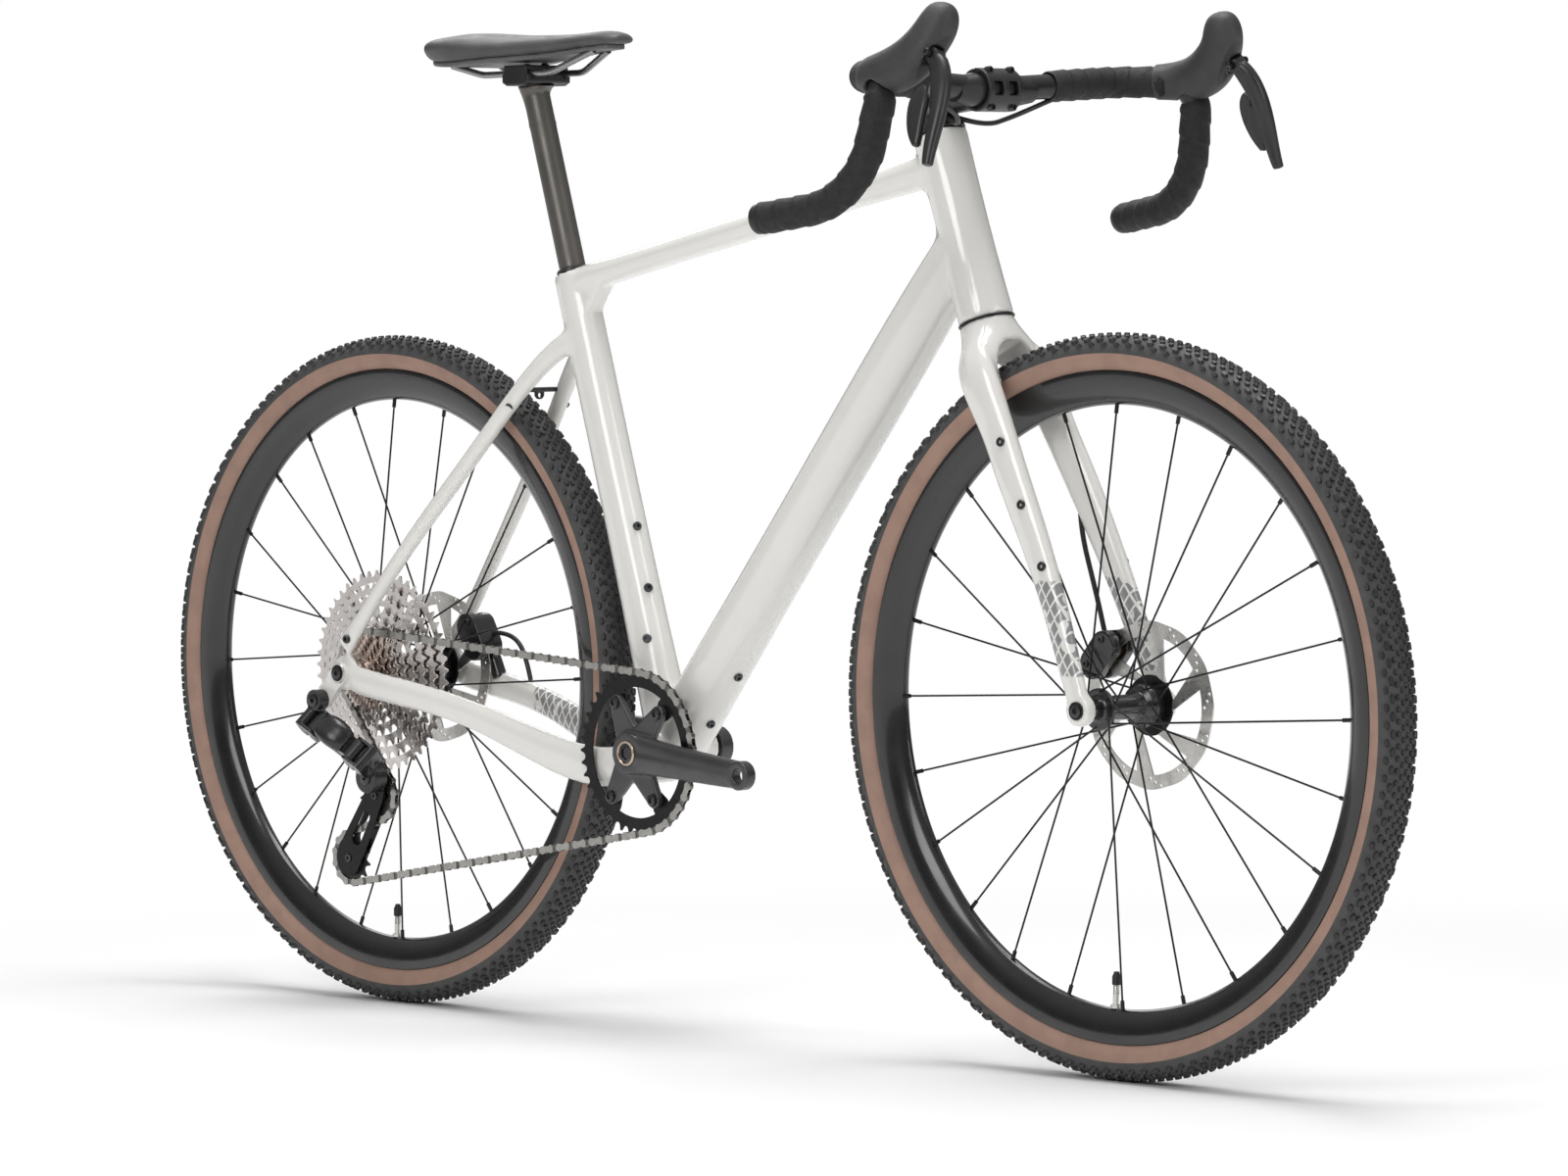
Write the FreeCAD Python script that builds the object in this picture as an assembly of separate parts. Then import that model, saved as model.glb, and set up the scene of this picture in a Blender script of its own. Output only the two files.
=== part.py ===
"""Gravel bike: moulded frame and fork, disc brakes, one chainring and a twelve-cog cassette.

Millimetres. Origin on the ground midway between the axles, +X forward, +Y left, +Z up.
The drive side is -Y. Every node is one STEP file in parts/.
"""
import FreeCAD
import Part
import math
import os

V = FreeCAD.Vector
X_AXIS = V(1, 0, 0)
Y_AXIS = V(0, 1, 0)
Z_AXIS = V(0, 0, 1)

# Stance and frame geometry
WHEELBASE = 1037.4
TYRE_RADIUS = 352.0
CHAINSTAY_LENGTH = 425.5
BB_DROP = 67.0
HEAD_ANGLE = 71.6
SEAT_ANGLE = 73.8
FORK_LENGTH = 399.0
FORK_RAKE = 48.0
HEAD_TUBE_LENGTH = 190.0
SEAT_TUBE_LENGTH = 503.0
FRONT_HUB_WIDTH = 100.0
REAR_HUB_WIDTH = 142.0
BB_SHELL_WIDTH = 86.5
BB_SHELL_RADIUS = 24.0
BB_CUP_RADIUS = 20.5
BB_CUP_DEPTH = 14.0
BB_FLANGE_RADIUS = 23.0
BB_FLANGE = 3.0
BB_SEAL = 3.6

# Fits
CLEARANCE = 0.3
RUNNING_FIT = 0.08
AXLE_RADIUS = 6.0
AXLE_HEAD_RADIUS = 8.5
AXLE_HEAD_LENGTH = 2.0
STEERER_RADIUS = 14.3
SPINDLE_RADIUS = 12.0
SPINDLE_WALL = 2.5
POST_RADIUS = 13.6

# Head tube and its bearings
HEAD_RADIUS_LOW = 27.0
HEAD_RADIUS_MID = 25.0
HEAD_RADIUS_TOP = 26.0
HEAD_BORE = 18.0
HEAD_BEARING_RADIUS = 20.9
HEAD_BEARING_HEIGHT = 7.0
CROWN_GAP = 0.6

# Frame tubes: share of the way along the tube, half width, half depth
TOP_TUBE_DROP_REAR = 11.0
TOP_TUBE_DROP_FRONT = 31.0
TOP_TUBE = ((0.0, 15.0, 15.0), (0.16, 16.5, 12.6), (0.52, 17.0, 13.0), (0.84, 18.0, 15.0), (1.0, 19.0, 19.0))
DOWN_TUBE_FOOT = V(4, 0, 5)
DOWN_TUBE_HEAD = 81.0
DOWN_TUBE = ((0.0, 31.0, 29.0), (0.2, 28.5, 28.5), (0.6, 28.0, 28.0), (0.86, 26.5, 28.0), (1.0, 23.0, 25.0))
HEAD_WEB_HALF_WIDTH = 14.0
HEAD_WEB_RADIUS = 40.0
HEAD_WEB_SINK = 6.0
SEAT_TUBE = ((0.0, 24.0, 24.0), (0.18, 20.0, 23.0), (0.42, 18.5, 21.5), (0.78, 18.5, 21.0), (1.0, 18.5, 20.5))
GUSSET_REACH = 58.0
GUSSET_DROP = 52.0
GUSSET_HALF_WIDTH = 11.0
GUSSET_RISE = 0.21
PORT_PLACE = 148.0
PORT_BACK = V(-17, 0, -4)
PORT_HALF_LENGTH = 17.0
PORT_RADIUS = 9.0

# Stays: forward of the rear axle, off the mid-plane, above the rear axle, half width, half depth
CHAINSTAY = ((14, 75, -6, 6.0, 15.0), (82, 70, -18, 8.0, 14.5), (177, 60, -37, 8.5, 14.5),
             (276, 45, -70, 8.5, 18.5), (336, 37, -84, 7.6, 20.5), (372, 33, -84, 9.0, 21.0),
             (414, 22, -72, 16.0, 20.0))
# Seatstays: shares of the way forward and up to the seat tube, with the offset between them
SEATSTAY_DROP = 66.7
SEATSTAY = ((0, 76, 0.0795, 6.0, 12.0), (0.057, 75, 0.1307, 6.5, 9.5), (0.3686, 61, 0.4432, 7.2, 8.6),
            (0.687, 38, 0.7557, 7.6, 9.0), (0.878, 21, 0.9318, 8.2, 10.5), (1.0054, 9, 1.0, 9.0, 13.0))
BRIDGE_PLACE = (0.744, 34, 0.8068)
BRIDGE_RADIUS = 2.6
BRIDGE_EYE = 6.0
BRIDGE_FOOT = 4.5
DROPOUT_RADIUS = 19.0
DROPOUT_THICKNESS = 8.0

# Fork legs: down from the crown, ahead of the steering axis, off the mid-plane, half width, half depth
FORK_CROWN = ((0, 0, 26.5, 26.5), (8, 0, 28.0, 26.5), (24, 3, 39.0, 26.0), (46, 7, 50.0, 23.5), (72, 11, 51.0, 20.5))
FORK_LEG = ((28, 4, 30.0, 8.0, 15.0), (58, 9, 40.0, 11.0, 21.5), (92, 15, 41.5, 10.5, 20.5), (150, 24, 44.5, 9.5, 18.5),
            (256, 39, 49.0, 8.5, 15.5), (340, 45.5, 53.5, 7.5, 13.0), (399, 48, 56.0, 5.6, 12.5))
FORK_END_RADIUS = 15.0
FORK_END_THICKNESS = 12.0
TYRE_ROOM_SIDE = 27.5
TYRE_ROOM_TOP = 9.0
FORK_ROOM_TOP = 20.0

# Wheels
TYRE_WIDTH = 42.0
TYRE_WALL = 2.8
TYRE_SIDE = 0.42
TYRE_SHOULDER = 0.76
TYRE_SHOULDER_WIDTH = 0.85
RIM_EDGE_RADIUS = 316.5
RIM_WIDTH = 29.0
RIM_DEPTH = 32.0
RIM_WALL = 2.2
BEAD_DEPTH = 7.0
SPOKE_COUNT = 24
SPOKE_RADIUS = 1.0
SPOKE_LEAN = 52.0
SPOKE_SPLIT = 1.7
SPOKE_HOLE_INSET = 3.0
SPOKE_OFFSET = 2.2
SPOKE_SEAT = 4.0
NIPPLE_RADIUS = 2.0
NIPPLE_LENGTH = 12.0
VALVE_RADIUS = 3.0
VALVE_LENGTH = 34.0
VALVE_ANGLE = 2.2
HUB_END_RADIUS = 9.6
HUB_BARREL_RADIUS = 12.0
FRONT_FLANGE_RADIUS = 20.0
REAR_FLANGE_RADIUS = 26.0
FLANGE_THICKNESS = 3.4
FRONT_FLANGES = (-31.0, 24.0)
REAR_FLANGES = (-19.0, 36.0)

# Disc brakes
ROTOR_RADIUS = 80.0
ROTOR_THICKNESS = 1.8
ROTOR_TRACK = 14.0
ROTOR_WAVE = 1.1
ROTOR_ARMS = 6
ROTOR_CARRIER_RADIUS = 29.0
ROTOR_BORE = 18.0
ROTOR_ARM_EDGE = 9.0
ROTOR_ARM_SWEEP = 24.0
VENT_RADIUS = 1.7
VENT_STEP = 3.8
VENT_EDGE = 3.2
VENT_TURN = 5.0
ROTOR_OFFSET_FRONT = 10.5
ROTOR_OFFSET_REAR = 15.0
PAD_GAP = 0.3
PAD_THICKNESS = 3.0
PAD_RADIUS = 8.0
PAD_LENGTH = 16.0
CALIPER_WALL = 10.5
CALIPER_RADIUS = 15.0
CALIPER_SPAN = 11.2
CALIPER_BRIDGE = 4.5
CALIPER_INSET = 8.0
FRONT_CALIPER_ANGLE = 140.0
REAR_CALIPER_ANGLE = 28.0
FRONT_FOOT_RADIUS = 7.0
REAR_FOOT_RADIUS = 8.0
HOSE_RADIUS = 2.5
BEND_SHARE = 0.47

# Chain and sprockets
CHAIN_PITCH = 12.7
ROLLER_RADIUS = 3.85
SEAT_CLEARANCE = 0.22
PIN_RADIUS = 1.8
LINK_RADIUS = 4.1
LINK_WAIST = 2.9
LINK_INNER_WIDTH = 2.3
LINK_PLATE = 0.72
LINK_GAP = 0.06
RING_TEETH = 40
RING_PLANE = 49.7
RING_THICKNESS = 1.8
RING_RIM = 15.0
COG_TEETH = (10, 12, 14, 16, 18, 21, 24, 28, 33, 39, 45, 51)
COG_IN_USE = 5
COG_STEP = 3.6
COG_THICKNESS = 1.6
COG_FIRST_PLANE = 65.0
FREEHUB_RADIUS = 17.3
PULLEY_TEETH = 13
PULLEY_THICKNESS = 1.7
PULLEY_BORE = 4.0
PULLEY_HOLES = 5
PULLEY_HOLE_CIRCLE = 12.5
PULLEY_HOLE_RADIUS = 3.6
TOOTH_TIP = 2.4
TOOTH_TIP_HALF = 0.9
SEAT_OPENING = 56.0

# Cranks
CRANK_LENGTH = 170.0
CRANK_ANGLE = -4.8
CRANK_HUB_RADIUS = 21.0
CRANK_INNER = 47.5
CRANK_OUTER = 65.0
CRANK_ARM = ((0.0, 57.0, 7.5, 21.0), (0.35, 61.5, 7.5, 17.5), (0.7, 66.0, 7.2, 15.5), (1.0, 67.4, 6.4, 13.8))
PEDAL_EYE_RADIUS = 14.5
PEDAL_EYE_HALF = 6.6
PEDAL_THREAD_RADIUS = 7.14
SPIDER_ANGLES = (52.0, 120.0, 240.0, 308.0)
SPIDER_BOLT_CIRCLE = 55.0
SPIDER_THICKNESS = 7.0
SPIDER_EYE = 8.5
RING_BOLT_RADIUS = 4.0
RING_BOLT_HEAD = 6.4
RING_NUT_HEIGHT = 1.4
RING_HEAD_HEIGHT = 1.6
RING_TAB_ROOT = 11.5

# Rear derailleur
HANGER_PIVOT = V(-26, 0, -29)
HANGER_THICKNESS = 7.0
KNUCKLE_LENGTH = 13.0
LINK_TOP = V(-22.3, -95, -53)
LINK_FOOT = V(21.7, -83, -81)
LINK_SLANT = 40.0
LINK_SPREAD = 16.0
LINK_BODY_RADIUS = 7.0
INNER_LINK_RADIUS = 4.5
LINK_BRIDGE = 14.5
LINK_HALF_WIDTH = 11.0
LINK_EAR = 3.5
# Housing on the outer link: share of the way down it, off its pivots' plane, half width, half depth
LINK_HOUSING = ((0.15, 9.5, 12.0, 6.0), (0.4, 12.0, 15.5, 9.5), (0.62, 12.0, 15.5, 9.5), (0.85, 9.5, 12.0, 6.0))
LINK_EAR_RADIUS = 7.0
LINK_EAR_TIP = 6.0
BRIDGE_END = 6.5
B_KNUCKLE_RADIUS = 11.4
P_KNUCKLE_RADIUS = 16.5
P_KNUCKLE_LENGTH = 17.0
HANGER_RADIUS = 11.5
HANGER_EYE_RADIUS = 9.0
MOUNT_BOLT_RADIUS = 5.0
CAGE_STUB_RADIUS = 5.0
LINK_PIN_RADIUS = 2.5
CAGE_PIVOT = V(22.7, 0, -110)
GUIDE_OFFSET = V(-6, 0, -20)
CAGE_LENGTH = 81.0
CAGE_REST = 30.0
CAGE_PLATE = 1.6
CAGE_HALF_GAP = 4.2
CAGE_TOP = 13.5
CAGE_FOOT = 19.0
CAGE_INNER_FOOT = 15.0
CAGE_SLOT_TOP = 6.5
CAGE_SLOT_FOOT = 7.5

# Cockpit
COVER_HEIGHT = 15.0
STEM_CLAMP_HEIGHT = 42.0
STEM_WALL = 4.6
STEM_REACH = 78.9
STEM_RISE = 16.1
BAR_CLAMP_RADIUS = 15.9
BAR_CLAMP_WIDTH = 46.0
BAR_CLAMP_WALL = 5.0
BAR_BULGE = 52.0
BAR_RADIUS = 12.0
BAR_BENDS = (V(0, 178, 10), V(70, 214, 8), V(48, 229, -107), V(-63, 250, -122))
BAR_BEND_RADII = (42.0, 26.0, 80.0)
TAPE_THICKNESS = 3.2
TAPE_START = 76.0
HOOD_EDGE = 0.62
FACEPLATE_GAP = 1.2
FACEPLATE_WINDOW = V(60, 12, 13)
FACEPLATE_WINDOW_OUT = 10.0
# Stem arm: share of the way to the bar, half width, half depth
STEM_ARM = ((0.03, 16.0, 18.0), (0.45, 17.0, 16.5), (0.86, 22.0, 16.5))

# Brake and shift levers, from the bar centre: forward, out, up, half width, half depth
HOOD = ((34, 195, 9, 16.5, 17.0), (66, 209, 11, 17.5, 21.0), (97, 206, 23, 18.5, 22.5),
        (115, 200, 42, 18.5, 20.0), (122, 194, 58, 17.0, 18.0), (124, 190, 70, 11.0, 12.0), (124, 189, 73, 5.0, 5.5))
LEVER_PIVOT = V(128, 207, 24)
LEVER_FLARE = 19.0
LEVER_HALF_WIDTH = 7.0
LEVER_EYE = 7.5
LEVER = ((2, 2, 6.9, 8.5), (13, 20, 7.0, 10.5), (19.5, 46, 6.8, 8.8), (20.5, 78, 6.0, 7.0), (22, 106, 4.6, 5.0))
LEVER_PIN_RADIUS = 2.5
LEVER_SLOT_ROOM = 1.5
LEVER_SLOT_REACH = 46.0
# Shift paddle behind the blade: ahead of the lever's pivot, below it, out, half width, half depth
PADDLE = ((1.0, 31, 4.0, 4.0, 4.5), (-1.0, 40, 5.0, 4.6, 10.0), (-1.5, 58, 5.0, 4.6, 11.0),
          (2.0, 76, 4.5, 4.2, 8.0), (6.0, 88, 3.5, 3.6, 3.4))
PADDLE_PIVOT = 6.5
PADDLE_PIVOT_RADIUS = 2.4
PADDLE_PIVOT_TOP = 43.0
PADDLE_FOOT = 89.0
PADDLE_LUG_RADIUS = 3.2
PADDLE_LUG_TOP = 28.0
PADDLE_PIN_RADIUS = 1.3

# Seatpost and saddle
POST_TOP = 694.0
POST_FOOT = 380.0
POST_NECK = 34.0
POST_HEAD_SIZES = ((14.0, 15.0), (15.5, 20.0))
CRADLE_DEPTH = 9.0
CRADLE_LENGTH = 40.0
CRADLE_BOLT = 3.0
COLLAR_HEIGHT = 4.0
COLLAR_RADIUS = 17.0
COLLAR_CHAMFER = 1.5
RAIL_RADIUS = 3.5
RAIL_RISE = 20.5
RAIL_HALF_SPACING = 22.0
RAIL_LEVEL = (-192, -88)
RAIL_BENDS = (26.0, 40.0)
NOSE_REACH = 135.1
PAD_CROWN = 12.0
PAD_CROWN_SHARE = 0.22
PAD_TUCK = 0.86
# Forward of the nose (negative is back), half width, top above the rails, depth of the cushion
SADDLE = ((-254, 34, 40, 16), (-245, 55, 43, 24), (-222, 71, 44, 29), (-178, 66, 42, 26), (-134, 48, 39, 20.5),
          (-90, 32, 38, 17), (-45, 24, 39, 14), (-14, 20, 39, 12), (-1, 12, 35, 8))
SHELL_THICKNESS = 6.0
RAIL_TAIL = V(-226, 34, 10.4)
RAIL_NOSE = V(-36, 10, 20.6)
SHELL_INSET = 4.0


def unit(vector):
    return V(vector) / vector.Length


def mix(start, end, share):
    return start + (end - start) * share


def turn(vector, axis, degrees):
    return FreeCAD.Rotation(axis, degrees).multVec(vector)


def mirrored(shape):
    """The same piece on the other side of the mid-plane."""
    return shape.mirror(V(0, 0, 0), Y_AXIS)


def at_y(point, y):
    return V(point.x, y, point.z)


def rod(start, end, radius):
    return Part.makeCylinder(radius, (end - start).Length, start, end - start)


def turned(profile, centre, axis=Y_AXIS):
    """Solid of revolution from (radius, station) corners about an axis through centre."""
    radial = X_AXIS if abs(axis.y) > 0.9 else Y_AXIS
    corners = [centre + radial * r + axis * s for r, s in profile]
    face = Part.Face(Part.makePolygon(corners + corners[:1]))
    return face.revolve(centre, axis, 360)


def section(centre, across, up, half_width, half_depth, squareness=2.3, count=12):
    """Smooth closed tube section: squareness 2 is an ellipse, more is boxier."""
    ring = []
    for i in range(count):
        angle = 2 * math.pi * i / count
        c, s = math.cos(angle), math.sin(angle)
        u = math.copysign(abs(c) ** (2 / squareness), c)
        w = math.copysign(abs(s) ** (2 / squareness), s)
        ring.append(centre + across * (half_width * u) + up * (half_depth * w))
    curve = Part.BSplineCurve()
    curve.interpolate(Points=ring, PeriodicFlag=True)
    return Part.Wire([curve.toShape()])


def moulded(stations, side=Y_AXIS, squareness=2.3):
    """Loft through (centre, half width, half depth) stations, each square to the run."""
    wires = []
    for i, (centre, half_width, half_depth) in enumerate(stations):
        before = stations[max(i - 1, 0)][0]
        after = stations[min(i + 1, len(stations) - 1)][0]
        run = unit(after - before)
        up = unit(run.cross(side))
        across = up.cross(run)
        wires.append(section(centre, across, up, half_width, half_depth, squareness))
    return Part.makeLoft(wires, True, False)


def strap(start, start_radius, end, end_radius, normal):
    """Flat outline round two discs joined by their common tangents."""
    run = unit(end - start)
    across = unit(normal.cross(run))
    lean = math.asin((start_radius - end_radius) / (end - start).Length)
    left = run * math.sin(lean) + across * math.cos(lean)
    right = run * math.sin(lean) - across * math.cos(lean)
    corners = (start + left * start_radius, end + left * end_radius,
               end + right * end_radius, start + right * start_radius)
    return Part.Face(Part.Wire([
        Part.LineSegment(corners[0], corners[1]).toShape(),
        Part.Arc(corners[1], end + run * end_radius, corners[2]).toShape(),
        Part.LineSegment(corners[2], corners[3]).toShape(),
        Part.Arc(corners[3], start - run * start_radius, corners[0]).toShape(),
    ]))


def arc_face(points):
    """Flat face from a closed chain of (start, through, end) arcs and (start, end) lines."""
    edges = []
    for run in points:
        edges.append((Part.Arc(*run) if len(run) == 3 else Part.LineSegment(*run)).toShape())
    return Part.Face(Part.Wire(edges))


def rounded_path(points, radii):
    """Wire of straight runs joined by tangent arcs at the inner points."""
    edges = []
    last = points[0]
    for before, corner, after, radius in zip(points, points[1:], points[2:], radii):
        back = unit(before - corner)
        ahead = unit(after - corner)
        half = back.getAngle(ahead) / 2
        reach = radius / math.tan(half)
        start = corner + back * reach
        end = corner + ahead * reach
        middle = corner + unit(back + ahead) * (radius / math.sin(half) - radius)
        edges.append(Part.LineSegment(last, start).toShape())
        edges.append(Part.Arc(start, middle, end).toShape())
        last = end
    edges.append(Part.LineSegment(last, points[-1]).toShape())
    return Part.Wire(edges)


def tube(path, radius):
    start = path.Edges[0].valueAt(path.Edges[0].FirstParameter)
    heading = path.Edges[0].tangentAt(path.Edges[0].FirstParameter)
    ring = Part.Wire([Part.Circle(start, heading, radius).toShape()])
    return path.makePipeShell([ring], True, False)


def hose(points):
    """Hose along its route, with each bend as large as its two runs allow."""
    radii = []
    for before, corner, after in zip(points, points[1:], points[2:]):
        back = before - corner
        ahead = after - corner
        radii.append(BEND_SHARE * min(back.Length, ahead.Length) * math.tan(back.getAngle(ahead) / 2))
    return tube(rounded_path(points, radii), HOSE_RADIUS)


def largest(shape):
    return max(shape.Solids, key=lambda solid: solid.Volume)


def bore(centre, radius, low, high):
    """Round hole along Y through centre, from low to high."""
    return rod(at_y(centre, low), at_y(centre, high), radius)


# Main points of the frame
REAR_AXLE = V(-WHEELBASE / 2, 0, TYRE_RADIUS)
FRONT_AXLE = V(WHEELBASE / 2, 0, TYRE_RADIUS)
BB = REAR_AXLE + V(math.sqrt(CHAINSTAY_LENGTH ** 2 - BB_DROP ** 2), 0, -BB_DROP)
HEAD_UP = V(-math.cos(math.radians(HEAD_ANGLE)), 0, math.sin(math.radians(HEAD_ANGLE)))
HEAD_AHEAD = V(HEAD_UP.z, 0, -HEAD_UP.x)
HEAD_FOOT = FRONT_AXLE - HEAD_AHEAD * FORK_RAKE + HEAD_UP * FORK_LENGTH
SEAT_UP = V(-math.cos(math.radians(SEAT_ANGLE)), 0, math.sin(math.radians(SEAT_ANGLE)))


def head(height):
    """Point on the steering axis, above the lower end of the head tube."""
    return HEAD_FOOT + HEAD_UP * height


def seat(height):
    """Point on the seat tube's axis, above the bottom bracket."""
    return BB + SEAT_UP * height


BAR_CENTRE = head(HEAD_TUBE_LENGTH + STEM_RISE) + HEAD_AHEAD * STEM_REACH
POST_HEAD = seat(POST_TOP)
RAIL_HEIGHT = POST_HEAD.z + RAIL_RISE
SADDLE_NOSE = POST_HEAD.x + NOSE_REACH
STAY_REACH = seat(SEAT_TUBE_LENGTH - SEATSTAY_DROP) - REAR_AXLE


def tube_stations(start, end, rows):
    return [(mix(start, end, share), half_width, half_depth) for share, half_width, half_depth in rows]


def chainstay():
    return moulded([(REAR_AXLE + V(x, y, z), half_width, half_depth) for x, y, z, half_width, half_depth in CHAINSTAY])


def stay_place(ahead, out, up):
    """Point of the left seatstay at shares of its reach to the seat tube."""
    return REAR_AXLE + V(STAY_REACH.x * ahead, out, STAY_REACH.z * up)


def seatstay():
    return moulded([(stay_place(ahead, out, up), half_width, half_depth)
                    for ahead, out, up, half_width, half_depth in SEATSTAY])


def meeting(start, run, other_start, other_run):
    """Point where two lines of the mid-plane cross."""
    gap = other_start - start
    share = (gap.x * other_run.z - gap.z * other_run.x) / (run.x * other_run.z - run.z * other_run.x)
    return start + run * share


def head_web():
    """Rounded web in the corner behind the head tube, between down tube and top tube."""
    down_end = head(DOWN_TUBE_HEAD)
    top_end = head(HEAD_TUBE_LENGTH - TOP_TUBE_DROP_FRONT)
    down_run = unit(BB + DOWN_TUBE_FOOT - down_end)
    top_run = unit(seat(SEAT_TUBE_LENGTH - TOP_TUBE_DROP_REAR) - top_end)
    down_line = down_end - down_run.cross(Y_AXIS) * (DOWN_TUBE[-2][2] - HEAD_WEB_SINK)
    top_line = top_end + top_run.cross(Y_AXIS) * (TOP_TUBE[-2][2] - HEAD_WEB_SINK)
    corner = meeting(down_line, down_run, top_line, top_run)
    half = down_run.getAngle(top_run) / 2
    reach = HEAD_WEB_RADIUS / math.tan(half)
    middle = corner + unit(down_run + top_run) * (HEAD_WEB_RADIUS / math.sin(half) - HEAD_WEB_RADIUS)
    foot = corner + down_run * reach
    top = corner + top_run * reach
    foot_at_head = meeting(down_line, down_run, HEAD_FOOT, HEAD_UP)
    top_at_head = meeting(top_line, top_run, HEAD_FOOT, HEAD_UP)
    outline = arc_face(((foot, middle, top), (top, top_at_head), (top_at_head, foot_at_head), (foot_at_head, foot)))
    return outline.extrude(Y_AXIS * (2 * HEAD_WEB_HALF_WIDTH)).translated(V(0, -HEAD_WEB_HALF_WIDTH, 0))


def frame():
    """One moulding: main tubes, stays and dropouts, bored for its bearings, post and axle."""
    head_top = HEAD_TUBE_LENGTH
    head_tube = Part.makeLoft([
        Part.Wire([Part.Circle(head(height), HEAD_UP, radius).toShape()])
        for height, radius in ((0, HEAD_RADIUS_LOW), (head_top / 2, HEAD_RADIUS_MID), (head_top, HEAD_RADIUS_TOP))
    ], True, False)
    seat_top = seat(SEAT_TUBE_LENGTH)
    top_tube = moulded(tube_stations(seat(SEAT_TUBE_LENGTH - TOP_TUBE_DROP_REAR),
                                     head(HEAD_TUBE_LENGTH - TOP_TUBE_DROP_FRONT), TOP_TUBE))
    down_tube = moulded(tube_stations(BB + DOWN_TUBE_FOOT, head(DOWN_TUBE_HEAD), DOWN_TUBE))
    seat_tube = moulded(tube_stations(BB, seat_top, SEAT_TUBE))
    shell = bore(BB, BB_SHELL_RADIUS, -BB_SHELL_WIDTH / 2, BB_SHELL_WIDTH / 2)
    corner = seat(SEAT_TUBE_LENGTH - TOP_TUBE_DROP_REAR)
    gusset = Part.Face(Part.makePolygon([
        corner, corner + V(GUSSET_REACH, 0, GUSSET_REACH * GUSSET_RISE),
        corner - SEAT_UP * GUSSET_DROP, corner,
    ])).extrude(Y_AXIS * (2 * GUSSET_HALF_WIDTH)).translated(V(0, -GUSSET_HALF_WIDTH, 0))
    half_hub = REAR_HUB_WIDTH / 2
    dropout = bore(REAR_AXLE, DROPOUT_RADIUS, half_hub, half_hub + DROPOUT_THICKNESS)
    sides = [chainstay(), seatstay(), dropout]
    body = down_tube
    for piece in [head_tube, head_web(), top_tube, seat_tube, gusset, shell] + sides:
        body = body.fuse(piece)
    for piece in sides:
        body = body.fuse(mirrored(piece))
    bearing = HEAD_BEARING_HEIGHT
    return body.cut([
        rod(head(-1), head(HEAD_TUBE_LENGTH + 1), HEAD_BORE),
        rod(head(-1), head(bearing), HEAD_BEARING_RADIUS),
        rod(head(head_top - bearing), head(head_top + 1), HEAD_BEARING_RADIUS),
        rod(seat(POST_FOOT - 120), seat(SEAT_TUBE_LENGTH + 5), POST_RADIUS + RUNNING_FIT),
        rod(seat(SEAT_TUBE_LENGTH), seat(SEAT_TUBE_LENGTH + 30), COLLAR_RADIUS + CLEARANCE),
        bore(BB, BB_CUP_RADIUS, -BB_SHELL_WIDTH, BB_SHELL_WIDTH),
        bore(REAR_AXLE, AXLE_RADIUS, -half_hub - 30, half_hub + 30),
        bore(REAR_AXLE, DROPOUT_RADIUS + 8, -half_hub, half_hub),
        tyre_room(REAR_AXLE, TYRE_ROOM_TOP),
    ])


def tyre_room(axle, headroom):
    """Space that a turning tyre needs, about one axle."""
    top = TYRE_RADIUS + headroom
    side = TYRE_ROOM_SIDE
    shoulder = mix(TYRE_RADIUS - 6, top, 0.62)
    half = ((RIM_EDGE_RADIUS, side), (TYRE_RADIUS - 6, side), (shoulder, side * 0.8), (top, side * 0.42))
    return turned([(radius, -y) for radius, y in half] + list(reversed(half)), axle)


def headset_bearings():
    """Upper and lower bearing ring in the head tube."""
    rings = []
    for foot in (0, HEAD_TUBE_LENGTH - HEAD_BEARING_HEIGHT):
        profile = ((STEERER_RADIUS + RUNNING_FIT, foot), (HEAD_BEARING_RADIUS, foot),
                   (HEAD_BEARING_RADIUS, foot + HEAD_BEARING_HEIGHT),
                   (STEERER_RADIUS + RUNNING_FIT, foot + HEAD_BEARING_HEIGHT))
        rings.append(turned(profile, HEAD_FOOT, HEAD_UP))
    return Part.makeCompound(rings)


def bottom_bracket():
    """Two bearing cups, each with its flange on the shell's face."""
    face = BB_SHELL_WIDTH / 2
    inner = SPINDLE_RADIUS + RUNNING_FIT
    low = face - BB_CUP_DEPTH
    cup = turned(((inner, low), (BB_CUP_RADIUS, low), (BB_CUP_RADIUS, face), (BB_FLANGE_RADIUS, face),
                  (BB_FLANGE_RADIUS, face + BB_FLANGE), (inner + BB_FLANGE, face + BB_SEAL),
                  (inner, face + BB_SEAL)), BB)
    return Part.makeCompound([cup, mirrored(cup)])


def fork_point(down, ahead, out=0.0):
    return HEAD_FOOT - HEAD_UP * down + HEAD_AHEAD * ahead + Y_AXIS * out


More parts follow.
